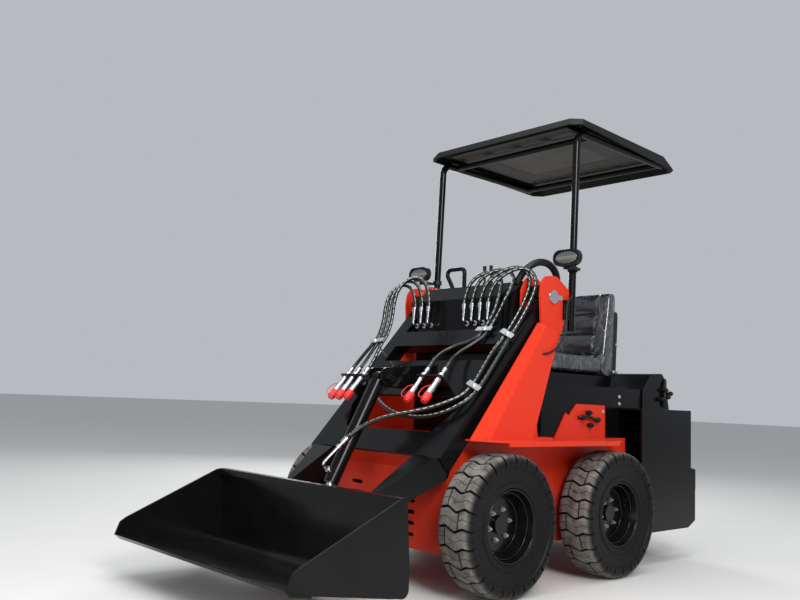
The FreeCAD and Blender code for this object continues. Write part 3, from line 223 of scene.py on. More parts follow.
def centreLine(route):
    # points read from the NURBS spline that has the route's points as its control points
    curve = bpy.data.curves.new("route", "CURVE")
    curve.dimensions = "3D"
    curve.resolution_u = hoses["cuts"]
    spline = curve.splines.new("NURBS")
    spline.points.add(len(route) - 1)
    spline.points.foreach_set("co", np.c_[route, np.ones(len(route))].ravel())
    spline.order_u = 3
    spline.use_endpoint_u = True
    holder = bpy.data.objects.new("route", curve)
    mesh = bpy.data.meshes.new_from_object(holder)
    line = np.empty(len(mesh.vertices) * 3)
    mesh.vertices.foreach_get("co", line)
    bpy.data.objects.remove(holder)
    bpy.data.meshes.remove(mesh)
    bpy.data.curves.remove(curve)
    return line.reshape(-1, 3)


def tube(name, route, radius, sides):
    # p(s) + r (cos a n(s) + sin a b(s)): b is the normal of the plane that the line keeps nearest to,
    # turned square to the line, and faces the camera's side
    line = centreLine(route)
    tangent = unit(np.gradient(line, axis=0))
    flat = np.linalg.svd(line - line.mean(0))[2][2]
    flat = flat * np.sign(flat @ (np.array(photo["place"]) - line.mean(0)))
    b = unit(flat - (tangent @ flat)[:, None] * tangent)
    n = np.cross(b, tangent)
    a = np.linspace(0, 2 * np.pi, sides, endpoint=False)[None, :, None]
    points = line[:, None] + radius * (np.cos(a) * n[:, None] + np.sin(a) * b[:, None])
    gone = np.r_[0, np.cumsum(np.linalg.norm(np.diff(line, axis=0), axis=1))]
    return surface(name, points, np.linspace(0, 1, sides + 1), gone, roundColumns=True)


def hosePiece(name, route, node):
    # a tube along the route, which stands in for the hidden CAD node
    piece = tube(name, route, hoses["radius"], hoses["sides"])
    centreLine(route)
    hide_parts(node)
    return piece


def hosePieces():
    stub = hoses["stub"]
    back = np.array((0, *drawing["armStep"])) * stub
    made = []
    for x, (middle, ends) in hoses["loops"].items():
        start = np.array((x, *hoses["elbow"]))
        end = onFace(ends)
        straight = start + (0, hoses["lean"], stub)
        route = drawn(np.vstack([start, straight, middle, end[:-1], end[-1] + back, end[-1]]))
        piece = hosePiece(f"loopHose{x}", route, "loop_hoses")
        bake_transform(piece)
        made.append(piece)
    for name, table in hoses["onArms"].items():
        points = onFace(table)
        last = [] if name == "manifold" else [points[-1] + back]
        route = drawn(np.vstack([points[0], points[0] - back, *points[1:-1], *last, points[-1]]))
        piece = hosePiece(f"armHose{name[0].upper()}{name[1:]}", route, "arm_hoses")
        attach(piece, "lift_arms")
        made.append(piece)
    points = onFace(hoses["tilt"])
    route = drawn(np.vstack([points[0], points[0] - back, points[1:]]))
    piece = hosePiece("tiltHose", route, "tilt_hose")
    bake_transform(piece)
    return made + [piece]


madeHoses = hosePieces()
print("hoses laid")

# shader helpers


class Value:
    # a socket that takes part in plain arithmetic
    def __init__(self, shade, socket):
        self.shade = shade
        self.socket = socket

    def maths(self, operation, *others):
        links = dict(enumerate((self, *others)))
        return self.shade.value(self.shade.add("ShaderNodeMath", {"operation": operation}, links))

    def __add__(self, other):
        return self.maths("ADD", other)

    def __sub__(self, other):
        return self.maths("SUBTRACT", other)

    def __rsub__(self, other):
        return (self * -1) + other

    def __mul__(self, other):
        return self.maths("MULTIPLY", other)

    def __abs__(self):
        return self.maths("ABSOLUTE")

    __radd__ = __add__
    __rmul__ = __mul__

    def step(self, low, high):
        # 0 below low, 1 above high, smooth between
        settings = {"interpolation_type": "SMOOTHSTEP"}
        links = {"Value": self, "From Min": low, "From Max": high}
        return self.shade.value(self.shade.add("ShaderNodeMapRange", settings, links))

    def within(self, rise, fall):
        # 1 between a step up and a step down, 0 outside
        return self.step(*rise) * (1 - self.step(*fall))


class Shade:
    # one material and its nodes
    def __init__(self, name):
        self.material = bpy.data.materials.new(name)
        self.material.use_nodes = True
        self.tree = self.material.node_tree
        self.tree.nodes.clear()
        self.output = self.add("ShaderNodeOutputMaterial")

    def add(self, kind, settings=None, links=None):
        # settings are the node's properties; links give each input another node's value or a constant
        node = self.tree.nodes.new(kind)
        for key, value in (settings or {}).items():
            setattr(node, key, value)
        for key, value in (links or {}).items():
            socket = node.inputs[key]
            if isinstance(value, Value):
                self.tree.links.new(value.socket, socket)
            else:
                socket.default_value = value
        return node

    def value(self, node, output=0):
        return Value(self, node.outputs[output])

    def split(self, output):
        # the three parts of one of Texture Coordinate's outputs
        node = self.add("ShaderNodeTexCoord")
        parts = self.add("ShaderNodeSeparateXYZ", None, {"Vector": self.value(node, output)})
        return [self.value(parts, axis) for axis in "XYZ"]

    def place(self, stretch):
        # object coordinates, which are the frame's metres here
        coords = self.add("ShaderNodeTexCoord")
        links = {"Vector": self.value(coords, "Object"), "Scale": stretch}
        return self.value(self.add("ShaderNodeMapping", None, links))

    def noise(self, scale, detail=3.0, rough=0.55, stretch=(1, 1, 1), warp=0.0):
        links = {"Vector": self.place(stretch), "Scale": scale, "Detail": detail, "Roughness": rough,
                 "Distortion": warp}
        return self.value(self.add("ShaderNodeTexNoise", None, links))

    def height(self):
        return self.split("Object")[2]

    def own(self):
        # the piece's own UV
        return self.split("UV")[:2]

    def mix(self, factor, first, second):
        # inputs 6 and 7 and output 2 are the node's colours
        node = self.add("ShaderNodeMix", {"data_type": "RGBA"}, {0: factor, 6: first, 7: second})
        return self.value(node, 2)

    def bump(self, height, strength, distance):
        links = {"Height": height, "Strength": strength, "Distance": distance}
        return self.value(self.add("ShaderNodeBump", None, links))

    def principled(self, links):
        shader = self.add("ShaderNodeBsdfPrincipled", None, links)
        self.tree.links.new(shader.outputs[0], self.output.inputs["Surface"])
        return self.material


def colour(red, green, blue):
    return (red, green, blue, 1.0)


def toned(base, share):
    # a colour brightened or darkened by one factor
    return colour(*(c * share for c in base[:3]))


# materials

dust = {
    "colour": colour(0.24, 0.21, 0.17),
    "heights": (0.05, 0.75),    # thickest below the first, none above the second
    "patches": (9.0, 5.0),      # scale and detail of a noise, here and below
    "amount": (1.4, 0.2),       # patches times the first, less the second
}


def dusty(shade, base, amount):
    # road dust: most near the ground, broken up by noise
    more, less = dust["amount"]
    low = 1 - shade.height().step(*dust["heights"])
    cover = (shade.noise(*dust["patches"]) * more - less) * low * amount
    return shade.mix(cover, base, dust["colour"])


enamel = {
    "clouds": (3.0, 4.0),
    "cloudAmount": 0.25,
    "cloudTone": 0.72,
    "uneven": (14.0, 0.16),     # noise scale and range of the roughness
    "coatRough": 0.06,
    "peel": (260.0, 2.0),
    "peelBump": (0.03, 0.002),  # strength and distance, here and below
}


def paint(name, base, rough, grime, coat, shine):
    # sprayed enamel: orange peel, faint clouding and dust low down
    shade = Shade(name)
    clouds = shade.noise(*enamel["clouds"]) * enamel["cloudAmount"]
    worn = shade.mix(clouds, base, toned(base, enamel["cloudTone"]))
    scale, spread = enamel["uneven"]
    return shade.principled({
        "Base Color": dusty(shade, worn, grime),
        "Roughness": shade.noise(scale) * spread + rough,
        "Specular IOR Level": shine,
        "Coat Weight": coat,
        "Coat Roughness": enamel["coatRough"],
        "Normal": shade.bump(shade.noise(*enamel["peel"]), *enamel["peelBump"]),
    })


plating = {
    "patches": 40.0,
    "patchTone": 0.75,
    "drawnOut": (3.0, 0.6, (1, 1, 0.1)),    # detail, roughness and stretch of the streaks' noise
    "streakRough": 0.12,
}


def metal(name, base, rough, streak=90.0):
    # plated steel, mottled, with streaks drawn out along Z in its roughness
    shade = Shade(name)
    streaks = shade.noise(streak, *plating["drawnOut"])
    return shade.principled({
        "Base Color": shade.mix(shade.noise(plating["patches"]), base, toned(base, plating["patchTone"])),
        "Metallic": 1.0,
        "Roughness": streaks * plating["streakRough"] + rough,
    })


rubber = {
    "clean": colour(0.005, 0.0046, 0.0046),
    "scuffed": colour(0.30, 0.275, 0.245),
    "tread": (0.068, 0.087),            # |x| where the tread gives way to the side
    "scuffs": (26.0, 6.0, 0.65),
    "scuffAmount": (1.5, 0.25),         # scuffs times the first, less the second
    "scuffShare": (0.85, 0.008),        # on the tread, and everywhere
    # where the grooves are, as tyre has them: shares of a pitch, and |x|
    "block": ((0.050, 0.085), (0.915, 0.950)),
    "lane": ((0.0285, 0.0315), (0.0370, 0.0400)),
    "hard": 0.001,                      # half width of a hard edge
    # ribs on a band of the side: |x| on and off, ribs a pitch, edges of a rib, height
    "band": ((0.088, 0.090), (0.100, 0.102)),
    "ribs": (9, (0.42, 0.5), 0.5),
    "grain": ((700.0, 2.0), 0.6),
    "lumps": (90.0, 3.0),
    "rough": (30.0, 0.2, 0.25, 0.34),   # noise scale, its range, more on the tread, least
    "shine": 0.12,
    "bump": (0.3, 0.002),
}


def tyreRubber():
    # scuffed and dusty on the tread, blacker and smoother down the side
    shade = Shade("tyreRubber")
    row, across = shade.own()
    far = abs(across)
    tread = 1 - far.step(*rubber["tread"])
    more, less = rubber["scuffAmount"]
    scuffs = (shade.noise(*rubber["scuffs"]) * more - less).maths("MAXIMUM", 0.0)
    hard = rubber["hard"]
    odd = (row * 0.5).maths("FRACT").step(0.5 - hard, 0.5 + hard)
    left = across.step(-hard, hard)
    lane = far.within(*rubber["lane"]) * (1 - abs(left - odd))
    block = row.maths("FRACT").within(*rubber["block"]) * (1 - lane)
    onTread, everywhere = rubber["scuffShare"]
    cover = scuffs * block * (tread * onTread + everywhere)
    count, edges, height = rubber["ribs"]
    ribs = (row * count).maths("FRACT").step(*edges) * far.within(*rubber["band"])
    fine, fineShare = rubber["grain"]
    grain = shade.noise(*fine) * fineShare + shade.noise(*rubber["lumps"]) + ribs * height
    scale, spread, treadRough, least = rubber["rough"]
    return shade.principled({
        "Base Color": shade.mix(cover, rubber["clean"], rubber["scuffed"]),
        "Roughness": shade.noise(scale) * spread + tread * treadRough + least,
        "Specular IOR Level": rubber["shine"],
        "Normal": shade.bump(grain, *rubber["bump"]),
    })


moulding = {
    "patches": 12.0,
    "patchTone": 1.5,
    "uneven": (60.0, 0.12),
    "grainDetail": 2.0,
    "grainDepth": 0.002,
}


def plain(name, base, rough, grain=400.0, strength=0.08, coat=0.0, shine=0.25):
    # moulded plastic and rubber with a fine grain
    shade = Shade(name)
    scale, spread = moulding["uneven"]
    return shade.principled({
        "Base Color": shade.mix(shade.noise(moulding["patches"]), base, toned(base, moulding["patchTone"])),
        "Roughness": shade.noise(scale) * spread + rough,
        "Specular IOR Level": shine,
        "Coat Weight": coat,
        "Normal": shade.bump(shade.noise(grain, moulding["grainDetail"]), strength, moulding["grainDepth"]),
    })


hoseCover = {
    # black rubber; its faint green is a painted sheen
    "rubber": colour(0.007, 0.010, 0.008),
    "print": colour(0.62, 0.63, 0.60),
    # the line of dashes: its turn round the hose, how far and how often it sways, its edges
    "line": (0.27, 0.07, 9, (0.014, 0.026)),
    "dashes": (34, (0.62, 0.68)),           # a metre, and where each ends
    "chips": ((500.0, 2.0), (0.30, 0.42)),
    "wrap": (420, 0.5),                     # radians a metre, height
    "grain": (900.0, 2.0),
    "bump": (0.12, 0.0006),
    "rough": (60.0, 0.12, 0.24),            # noise scale, its range, least
    "shine": 0.35,
    "coat": (0.15, 0.2),                    # weight and roughness
}


def hoseRubber():
    # printed dashes along one side, over a fine wrapped cover; the cover's faint green is a painted sheen
    shade = Shade("hoseRubber")
    gone, around = shade.own()
    middle, sway, often, edges = hoseCover["line"]
    line = 1 - abs(around - (gone * often).maths("SINE") * sway - middle).step(*edges)
    count, ends = hoseCover["dashes"]
    dash = 1 - (gone * count).maths("FRACT").step(*ends)
    chips, worn = hoseCover["chips"]
    left = shade.noise(*chips).step(*worn)
    turns, height = hoseCover["wrap"]
    wrap = (gone * turns).maths("SINE") * height
    scale, spread, least = hoseCover["rough"]
    coat, coatRough = hoseCover["coat"]
    return shade.principled({
        "Base Color": shade.mix(line * dash * left, hoseCover["rubber"], hoseCover["print"]),
        "Roughness": shade.noise(scale) * spread + least,
        "Specular IOR Level": hoseCover["shine"],
        "Coat Weight": coat,
        "Coat Roughness": coatRough,
        "Normal": shade.bump(wrap + shade.noise(*hoseCover["grain"]), *hoseCover["bump"]),
    })


film = {
    # black vinyl; its faint grey-blue is a painted sheen
    "vinyl": colour(0.016, 0.018, 0.023),
    # painted highlight: the pale colour that the film's creases are given
    "crease": colour(0.42, 0.42, 0.43),
    # a warped noise, half width of the crease at its middle value, share of the painted highlight, height
    "folds": ((4.0, 2.0, 0.5, (1, 1, 0.7), 0.6), 0.022, 0.16, 0.4),
    "small": ((13.0, 2.0, 0.5, (1, 1, 0.5), 0.8), 0.030, 0.06, 0.15),
    "crinkle": ((16.0, 3.0, 0.55, (1, 1, 0.45), 1.0), 0.028, 0.22, 0.3),
    "edge": (0.165, 0.185),                 # |x| where the crinkle starts and is full
    "slack": (5.0, 2.0),
    "rough": (30.0, 0.12, 0.22),            # noise scale, its range, least
    "coatRough": 0.06,
    "bump": (0.5, 0.010),
}


def wrappedVinyl():
    # black vinyl under loose clear film, which creases where warped noise crosses its middle; the creases
    # are painted pale as highlights, most near the bolsters' edges, and the vinyl's faint grey-blue is a
    # painted sheen
    shade = Shade("wrappedVinyl")
    edge = abs(shade.split("Object")[0]).step(*film["edge"])
    paintedHighlight, height = [], []
    for kind in ("folds", "small", "crinkle"):
        noise, width, share, rise = film[kind]
        crease = 1 - abs(shade.noise(*noise) - 0.5).step(0.0, width)
        if kind == "crinkle":
            crease = crease * edge
        # each crease is painted pale as a highlight, and raised by the bump
        paintedHighlight.append(crease * share)
        height.append(crease * rise)
    scale, spread, least = film["rough"]
    return shade.principled({
        "Base Color": shade.mix(sum(paintedHighlight), film["vinyl"], film["crease"]),
        "Roughness": shade.noise(scale) * spread + least,
        "Coat Weight": 1.0,
        "Coat Roughness": film["coatRough"],
        "Normal": shade.bump(sum(height) + shade.noise(*film["slack"]), *film["bump"]),
    })


looks = {
    "orange_paint": paint("orangePaint", colour(0.60, 0.030, 0.009), rough=0.26, grime=0.10,
                          coat=0.06, shine=0.20),
    "black_paint": paint("blackPaint", colour(0.0028, 0.0028, 0.0032), rough=0.13, grime=0.02,
                         coat=0.05, shine=0.15),
    "rim_black": paint("rimBlack", colour(0.0028, 0.0026, 0.0028), rough=0.16, grime=0.008,
                       coat=0.22, shine=0.2),
    "tyre_rubber": tyreRubber(),
    "chrome_steel": metal("chromeSteel", colour(0.66, 0.66, 0.68), rough=0.14),
    "black_vinyl": wrappedVinyl(),
    "canopy_plastic": plain("canopyPlastic", colour(0.0035, 0.0033, 0.0033), rough=0.42,
                            grain=350.0, strength=0.15, shine=0.10),
    "black_plastic": plain("blackPlastic", colour(0.008, 0.008, 0.008), rough=0.34),
    "lamp_body": plain("lampBody", colour(0.008, 0.008, 0.009), rough=0.3),
    "engine_iron": plain("engineIron", colour(0.05, 0.05, 0.053), rough=0.55),
    "hose_rubber": hoseRubber(),
    "red_plastic": plain("redPlastic", colour(0.52, 0.022, 0.020), rough=0.34, grain=500.0, coat=0.2),
    "zinc_plate": metal("zincPlate", colour(0.80, 0.81, 0.83), rough=0.3, streak=60.0),
    "wheel_nut": metal("wheelNut", colour(0.50, 0.49, 0.48), rough=0.25, streak=60.0),
}
slotOf = {row["node"]: row["material_slot"] for row in frame["record"]["subparts"]}


def finish(piece, slot, look=None):
    # the slot's own look, unless another is given
    piece.data.materials.clear()
    piece.data.materials.append(look or looks[slot])


for name, node in nodes.items():
    finish(node, slotOf[name])
for piece in madeHoses:
    finish(piece, "hose_rubber")
print("materials on the CAD nodes and hoses")

# tyres: blocks and grooves on a grid that follows the zigzag of the tread

tyre = {
    "pitches": 24,
    "deep": 0.012,
    # x from the tyre's middle, radius, share of the groove's depth
    "side": [(0.0635, 0.1525, 0), (0.0700, 0.1570, 0), (0.0738, 0.1660, 0), (0.0742, 0.1760, 0),
             (0.0700, 0.1830, 0), (0.0722, 0.1920, 0), (0.0750, 0.2080, 0), (0.0772, 0.2260, 0),
             (0.0785, 0.2380, 0), (0.0838, 0.2430, 0.0), (0.0853, 0.2500, 0.5), (0.0857, 0.2620, 1),
             (0.0840, 0.2730, 1), (0.0790, 0.2820, 1), (0.0715, 0.2880, 1), (0.0600, 0.2918, 1)],
    # the same across the tread: x and whether a groove along the tread runs there
    "top": [(0.0500, 0), (0.0390, 0), (0.0370, 1), (0.0315, 1), (0.0295, 0), (0.0150, 0), (0.0, 0)],
    # share of a pitch, depth of the groove between two blocks or of the slit in a block's middle
    "pitch": [(0.0, 1), (0.050, 1), (0.072, 0), (0.20, 0), (0.36, 0), (0.475, 0), (0.487, 0.35),
              (0.513, 0.35), (0.525, 0), (0.64, 0), (0.80, 0), (0.928, 0), (0.950, 1)],
    # x and how far the grooves shift there, in pitches
    "zigzag": [(-0.086, -0.02), (-0.030, -0.17), (0.020, 0.13), (0.056, -0.11), (0.086, 0.02)],
    "crown": (0.2945, 0.75),        # radius at the middle, and its fall with the square of x
    "shoulder": (0.0857, 0.262),    # x and radius where the tread ends
    # where the grooves turn to cut sideways: |x| and over how much, lowest radius, share of the depth
    "flank": (0.080, 0.004, 0.243, 0.6),
    "sharp": 28.0,
}


def tyreShape(centre, way):
    # angle = 2 pi (pitch + zigzag(x)) / pitches, radius = profile(x) - depth(pitch, x); on the flank the
    # depth comes off x instead
    side = np.array(tyre["side"])
    top = np.array(tyre["top"])
    middle, fall = tyre["crown"]
    crown = middle - fall * top[:, 0] ** 2
    x = np.r_[side[:, 0], top[:, 0]]
    r = np.r_[side[:, 1], crown]
    reach = np.r_[side[:, 2], np.ones(len(top))]
    groove = np.r_[np.zeros(len(side)), top[:, 1]]
    # the other half of the profile mirrors this one
    x, r, reach, groove = (np.r_[v, s * v[-2::-1]] for v, s in ((x, -1), (r, 1), (reach, 1), (groove, 1)))
    outer = x > 0
    share, cut = np.array(tyre["pitch"]).T
    turn = (np.arange(tyre["pitches"])[:, None] + share).ravel()
    odd = np.repeat(np.arange(tyre["pitches"]) % 2, len(share))[:, None]
    between = np.tile(cut, tyre["pitches"])[:, None] * reach
    along = groove * (outer == odd)
    depth = tyre["deep"] * np.maximum(between, along)
    start, over, lowest, sideways = tyre["flank"]
    flank = np.clip((np.abs(x) - start) / over, 0, 1) * (r > lowest)
    place, shift = np.array(tyre["zigzag"]).T
    angle = 2 * np.pi * (turn[:, None] + np.interp(x, place, shift)) / tyre["pitches"]
    radius = r - depth * (1 - flank)
    out = x - np.sign(x) * depth * flank * sideways
    points = np.stack([centre[0] + way * out, centre[1] + radius * np.cos(angle),
                       centre[2] + radius * np.sin(angle)], -1)
    # across the profile: x on the tread, and on from the shoulder down the side
    edge, high = tyre["shoulder"]
    across = np.where(r > high, x, np.sign(x) * (edge + high - r))
    return points, np.r_[across, across[0]], np.r_[turn, tyre["pitches"]]


def wheels():
    # each wheel's name, the middle of its tyre, and 1 on the left or -1 on the right
    for name in ("front_left", "front_right", "rear_left", "rear_right"):
        low, high = (np.array(v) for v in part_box("tyre_" + name))
        yield name, (low + high) / 2, 1 if name.endswith("left") else -1


def tyrePieces():
    for name, centre, way in wheels():
        points, across, turn = tyreShape(centre, way)
        piece = surface("tread_" + name, points, across, turn, roundRows=True, roundColumns=True,
                        sharp=tyre["sharp"])
        finish(piece, "tyre_rubber")
        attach(piece, "wheel_" + name)
        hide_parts("tyre_" + name)


tyrePieces()
print("tyres cut")

# seat: padded rolls between side bolsters, in a hard shell

seat = {
    "width": 0.232,
    "bolster": 0.160,
    "grid": (121, 160),         # rows and points round each
    "square": (0.30, 0.36),     # how square a section is, across and through: 1 is an ellipse
    "waist": (0.93, 0.07),      # share of the width at the ends, and what the middle adds
    # closing of the two ends: reach, power, and its root in width and in thickness
    "close": (0.97, 14, 0.5, 0.35),
    # height of the rolls, their sharpness, their extra sag in the middle, the level that stays put
    "roll": (0.016, 0.6, 0.25, 1.25),
    # height of the bolsters, softness of their edge, depth and half width of the seam beside them
    "side": (0.9, 0.004, 0.8, 0.006),
    "sharp": 60.0,
    # ends along the part; front and rear are a start and a rise; the front's rise starts after that share
    "back": {"rolls": 4, "ends": (0.968, 1.427),
             "front": (0.899, 0.053), "late": 0.35, "rear": (1.018, 0.022)},
    "cushion": {"rolls": 3, "ends": (0.424, 0.892),
                "front": (1.082, -0.008), "late": 0, "rear": (0.969, 0)},
    "shell": {"rolls": 0, "ends": (0.967, 1.330),
              "front": (0.985, 0.015), "late": 0, "rear": (1.040, 0.017)},
    "shellWider": 1.010,
}


def pad(part):
    # section of each row: x = width sign(cos a) |cos a|^across, and the depth goes from rear to front with
    # sign(sin a) |sin a|^through; the front swells by height |sin(pi rolls t)|^blunt between the bolsters
    rows, columns = seat["grid"]
    t = np.linspace(0, 1, rows)[:, None]
    a = np.linspace(0, 2 * np.pi, columns, endpoint=False)[None, :]
    reach, power, widthRoot, depthRoot = seat["close"]
    ends = 1 - (reach * np.abs(2 * t - 1)) ** power
    c, s = np.cos(a), np.sin(a)
    across, through = seat["square"]
    narrow, more = seat["waist"]
    x = seat["width"] * np.sign(c) * np.abs(c) ** across * (narrow + more * ends ** widthRoot)
    face = np.sign(s) * np.abs(s) ** through * ends ** depthRoot
    (frontStart, frontRise), (rearStart, rearRise), late = part["front"], part["rear"], part["late"]
    front = frontStart + frontRise * np.clip(t * (1 + late) - late, 0, 1)
    rear = rearStart + rearRise * t
    depth = (front + rear) / 2 + face * (front - rear) / 2
    if part["rolls"]:
        height, blunt, sagMore, level = seat["roll"]
        bolster, soft, seamDeep, seamWide = seat["side"]
        roll = np.abs(np.sin(np.pi * part["rolls"] * t)) ** blunt
        inside = 1 / (1 + np.exp((np.abs(x) - seat["bolster"]) / soft))
        seam = np.exp(-((np.abs(x) - seat["bolster"]) / seamWide) ** 2)
        sag = np.cos(x / seat["width"] * np.pi / 2) * sagMore
        swell = inside * (roll * (1 + sag)) + (1 - inside) * bolster - seam * seamDeep
        toFront = np.clip(face, 0, 1) ** 2 * np.sign(front - rear)
        depth = depth + toFront * height * (swell - level)
    low, high = part["ends"]
    return x, low + t * (high - low) + 0 * x, depth


def seatPieces():
    x, z, y = pad(seat["back"])
    back = surface("seatBackPad", np.stack([x, y, z], -1), roundColumns=True, sharp=seat["sharp"])
    x, y, z = pad(seat["cushion"])
    cushion = surface("seatCushionPad", np.stack([x, y, z], -1), roundColumns=True, sharp=seat["sharp"])
    x, z, y = pad(seat["shell"])
    wide = np.stack([x * seat["shellWider"], y, z], -1)
    shell = surface("seatShell", wide, roundColumns=True, sharp=seat["sharp"])
    for piece, node in ((back, "seat_back"), (cushion, "seat_cushion")):
        finish(piece, "black_vinyl")
        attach(piece, "chassis")
        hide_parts(node)
    finish(shell, "black_plastic")
    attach(shell, "chassis")


seatPieces()
print("seat padded")

# bolts, nuts and knobs, and the raised rings in the wheels

bolt = {
    # radius and height of each profile step
    "nut": [(0.0115, 0.0), (0.0115, 0.003), (0.0090, 0.0032), (0.0094, 0.0045), (0.0094, 0.010),
            (0.0086, 0.0113), (0.0048, 0.0115), (0.0046, 0.018), (0.0038, 0.0188)],
    "head": [(0.0105, 0.0), (0.0105, 0.0015), (0.0078, 0.0017), (0.0080, 0.0025), (0.0080, 0.0065),
             (0.0070, 0.0075), (0.0030, 0.0076)],
    "knob": [(0.009, 0.0), (0.009, 0.008), (0.0118, 0.010), (0.0132, 0.014), (0.0132, 0.024),
             (0.0115, 0.028), (0.0060, 0.0295), (0.0050, 0.035), (0.0010, 0.0355)],
    # x on the wheel's axis, radius and thickness of the raised rings in the wheel's dish
    "beads": [(0.5945, 0.1490, 0.0038), (0.5700, 0.1345, 0.0030), (0.5320, 0.1100, 0.0026)],
    "beadGrid": (96, 12),
    # nuts of a wheel: how many, degrees to the first, radius of their circle, x of their seats
    "wheelNuts": (6, 12, 0.064, 0.526),
    "corners": 6,
    "sharp": {"hexagon": 20.0, "knob": 30.0},
    "knobSides": 18,
    "knobs": {
        "valveKnobs": [(0.372, 0.500, 0.741), (0.372, 0.553, 0.766), (0.372, 0.568, 0.704),
                       (0.372, 0.628, 0.731)],
        "latchKnobs": [(0.372, 1.290, 0.905), (0.372, 1.315, 0.868), (0.372, 1.262, 0.852),
                       (0.372, 1.340, 0.888)],
    },
    # slot, direction, places
    "heads": {
        "hoodBolts": ("zinc_plate", (1, 0, 0), [(0.3642, 0.860, 0.854), (0.3642, 0.860, 0.817),
                                                (0.3722, 0.700, 0.773)]),
        "seatBolts": ("zinc_plate", (1, 0, 0), [(0.2330, 1.005, 0.992), (0.2330, 1.034, 0.992),
                                                (0.2330, 1.032, 1.144)]),
        "fenderBolts": ("orange_paint", (0, 0, -1), [(0.560, 0.110, 0.618), (0.560, 0.420, 0.618),
                                                     (-0.560, 0.110, 0.618), (-0.560, 0.420, 0.618)]),
    },
}


def beadRings(name, way, y, z):
    # for each bead, a turned circle: radius + thick cos b, x + thick sin b, round the axle by a
    x, radius, thick = (v[:, None, None] for v in np.array(bolt["beads"]).T)
    turns, sides = bolt["beadGrid"]
    a = np.linspace(0, 2 * np.pi, turns, endpoint=False)[None, :, None]
    b = np.linspace(0, 2 * np.pi, sides, endpoint=False)[None, None, :]
    r = radius + thick * np.cos(b)
    out = x + thick * np.sin(b) + 0 * a
    points = np.stack([way * out, y + r * np.cos(a), z + r * np.sin(a)], -1)
    return surface(name, points, roundRows=True, roundColumns=True)


def boltPieces():
    count, first, circle, x = bolt["wheelNuts"]
    ring = np.radians(np.arange(count) * 360 / count + first)
    for name, (_, y, z), way in wheels():
        places = np.stack([way * x + 0 * ring, y + circle * np.cos(ring), z + circle * np.sin(ring)], -1)
        aim = (way, 0, 0)
        nuts = lathe("nuts_" + name, bolt["nut"], bolt["corners"], places, aim, bolt["sharp"]["hexagon"])
        finish(nuts, "rim_black", looks["wheel_nut"])
        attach(nuts, "wheel_" + name)
        beads = beadRings("beads_" + name, way, y, z)
        finish(beads, "rim_black")
        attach(beads, "wheel_" + name)
    for name, places in bolt["knobs"].items():
        knobs = lathe(name, bolt["knob"], bolt["knobSides"], places, (1, 0, 0), bolt["sharp"]["knob"])
        finish(knobs, "black_plastic")
        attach(knobs, "chassis")
    for name, (slot, aim, places) in bolt["heads"].items():
        heads = lathe(name, bolt["head"], bolt["corners"], places, aim, bolt["sharp"]["hexagon"])
        finish(heads, slot)
        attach(heads, "chassis")


boltPieces()
print("bolts placed")

# lamp fronts

lens = {
    "half": (0.062, 0.029),
    "middle": (0.500, 0.1835, 1.490),
    "crown": 0.0024,
    "rings": (24, 0.02),                # how many, and the innermost one's share of the half sizes
    "sides": 64,
    "ribs": 700,                        # radians a metre
    "bar": (0.006, 0.009),              # edge of the pale bar, above and below the middle
    "barShare": 0.8,
    # painted reflection: the bright and dark stripes of the reflector's glints
    "reflectorGlints": (colour(0.30, 0.30, 0.31), colour(0.05, 0.05, 0.052)),
    "barColour": colour(0.36, 0.33, 0.24),
    "metal": 0.85,
    "rough": (80.0, 0.1, 0.12),         # noise scale, its range, least
    "bump": (0.3, 0.002),
}


def lampLens():
    # ribbed clear front over a reflector, whose glints are painted as bright and dark stripes along the
    # ribs
    shade = Shade("lampLens")
    x, _, z = shade.split("Object")
    ribs = (x * lens["ribs"]).maths("SINE")
    bar = 1 - abs(z - lens["middle"][2]).step(*lens["bar"])
    # painted reflection: glint stripes along the ribs
    glintStripes = shade.mix(ribs * 0.5 + 0.5, *lens["reflectorGlints"])
    scale, spread, least = lens["rough"]
    return shade.principled({
        "Base Color": shade.mix(bar * lens["barShare"], glintStripes, lens["barColour"]),
        "Metallic": lens["metal"],
        "Roughness": shade.noise(scale) * spread + least,
        "Coat Weight": 1.0,
        "Normal": shade.bump(ribs, *lens["bump"]),
    })


def lensPieces():
    # an oval of rings: x and z = middle + q half, y = middle - crown (1 - q^2), from q = 1 inwards
    rings, innermost = lens["rings"]
    q = np.linspace(1.0, innermost, rings)[:, None]
    a = np.linspace(0, 2 * np.pi, lens["sides"], endpoint=False)[None, :]
    for way, name in ((1, "left"), (-1, "right")):
        x = way * lens["middle"][0] + q * lens["half"][0] * np.cos(a)
        z = lens["middle"][2] + q * lens["half"][1] * np.sin(a)
        y = lens["middle"][1] - lens["crown"] * (1 - q ** 2) + 0 * a
        piece = surface("lens_" + name, np.stack([x, y, z], -1), roundColumns=True)
        finish(piece, "lamp_body", lampLens())
        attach(piece, "chassis")


lensPieces()
print("lamp fronts placed")

# roof lining: pockets pressed up into a sheet; the ribs between the pockets are painted dark as shade

lining = {
    "x": 0.405, "y": (0.300, 1.105), "low": 2.172, "deep": 0.007, "sheet": 0.002,
    "grid": 150,
    "soft": 0.0035,     # how fast a pocket's edge falls
    "sharp": 60.0,
    # middle x and y, half sizes
    "pockets": [(0.0, 0.700, 0.270, 0.195), (-0.300, 0.385, 0.070, 0.040), (-0.100, 0.385, 0.070, 0.040),
                (0.100, 0.385, 0.070, 0.040), (0.300, 0.385, 0.070, 0.040), (-0.300, 1.015, 0.070, 0.045),
                (-0.100, 1.015, 0.070, 0.045), (0.100, 1.015, 0.070, 0.045), (0.300, 1.015, 0.070, 0.045)],
    # painted shade: the near-black given to the ribs between the pockets
    "ribs": colour(0.006, 0.006, 0.0065),
    "bare": (colour(0.048, 0.036, 0.022), colour(0.030, 0.024, 0.017)),
    "edge": (0.35, 0.65),
    "stain": (6.0, 4.0),
    "rough": (0.2, 0.45),               # range and least
    "grain": (300.0, 2.0),
    "bump": (0.1, 0.002),
}


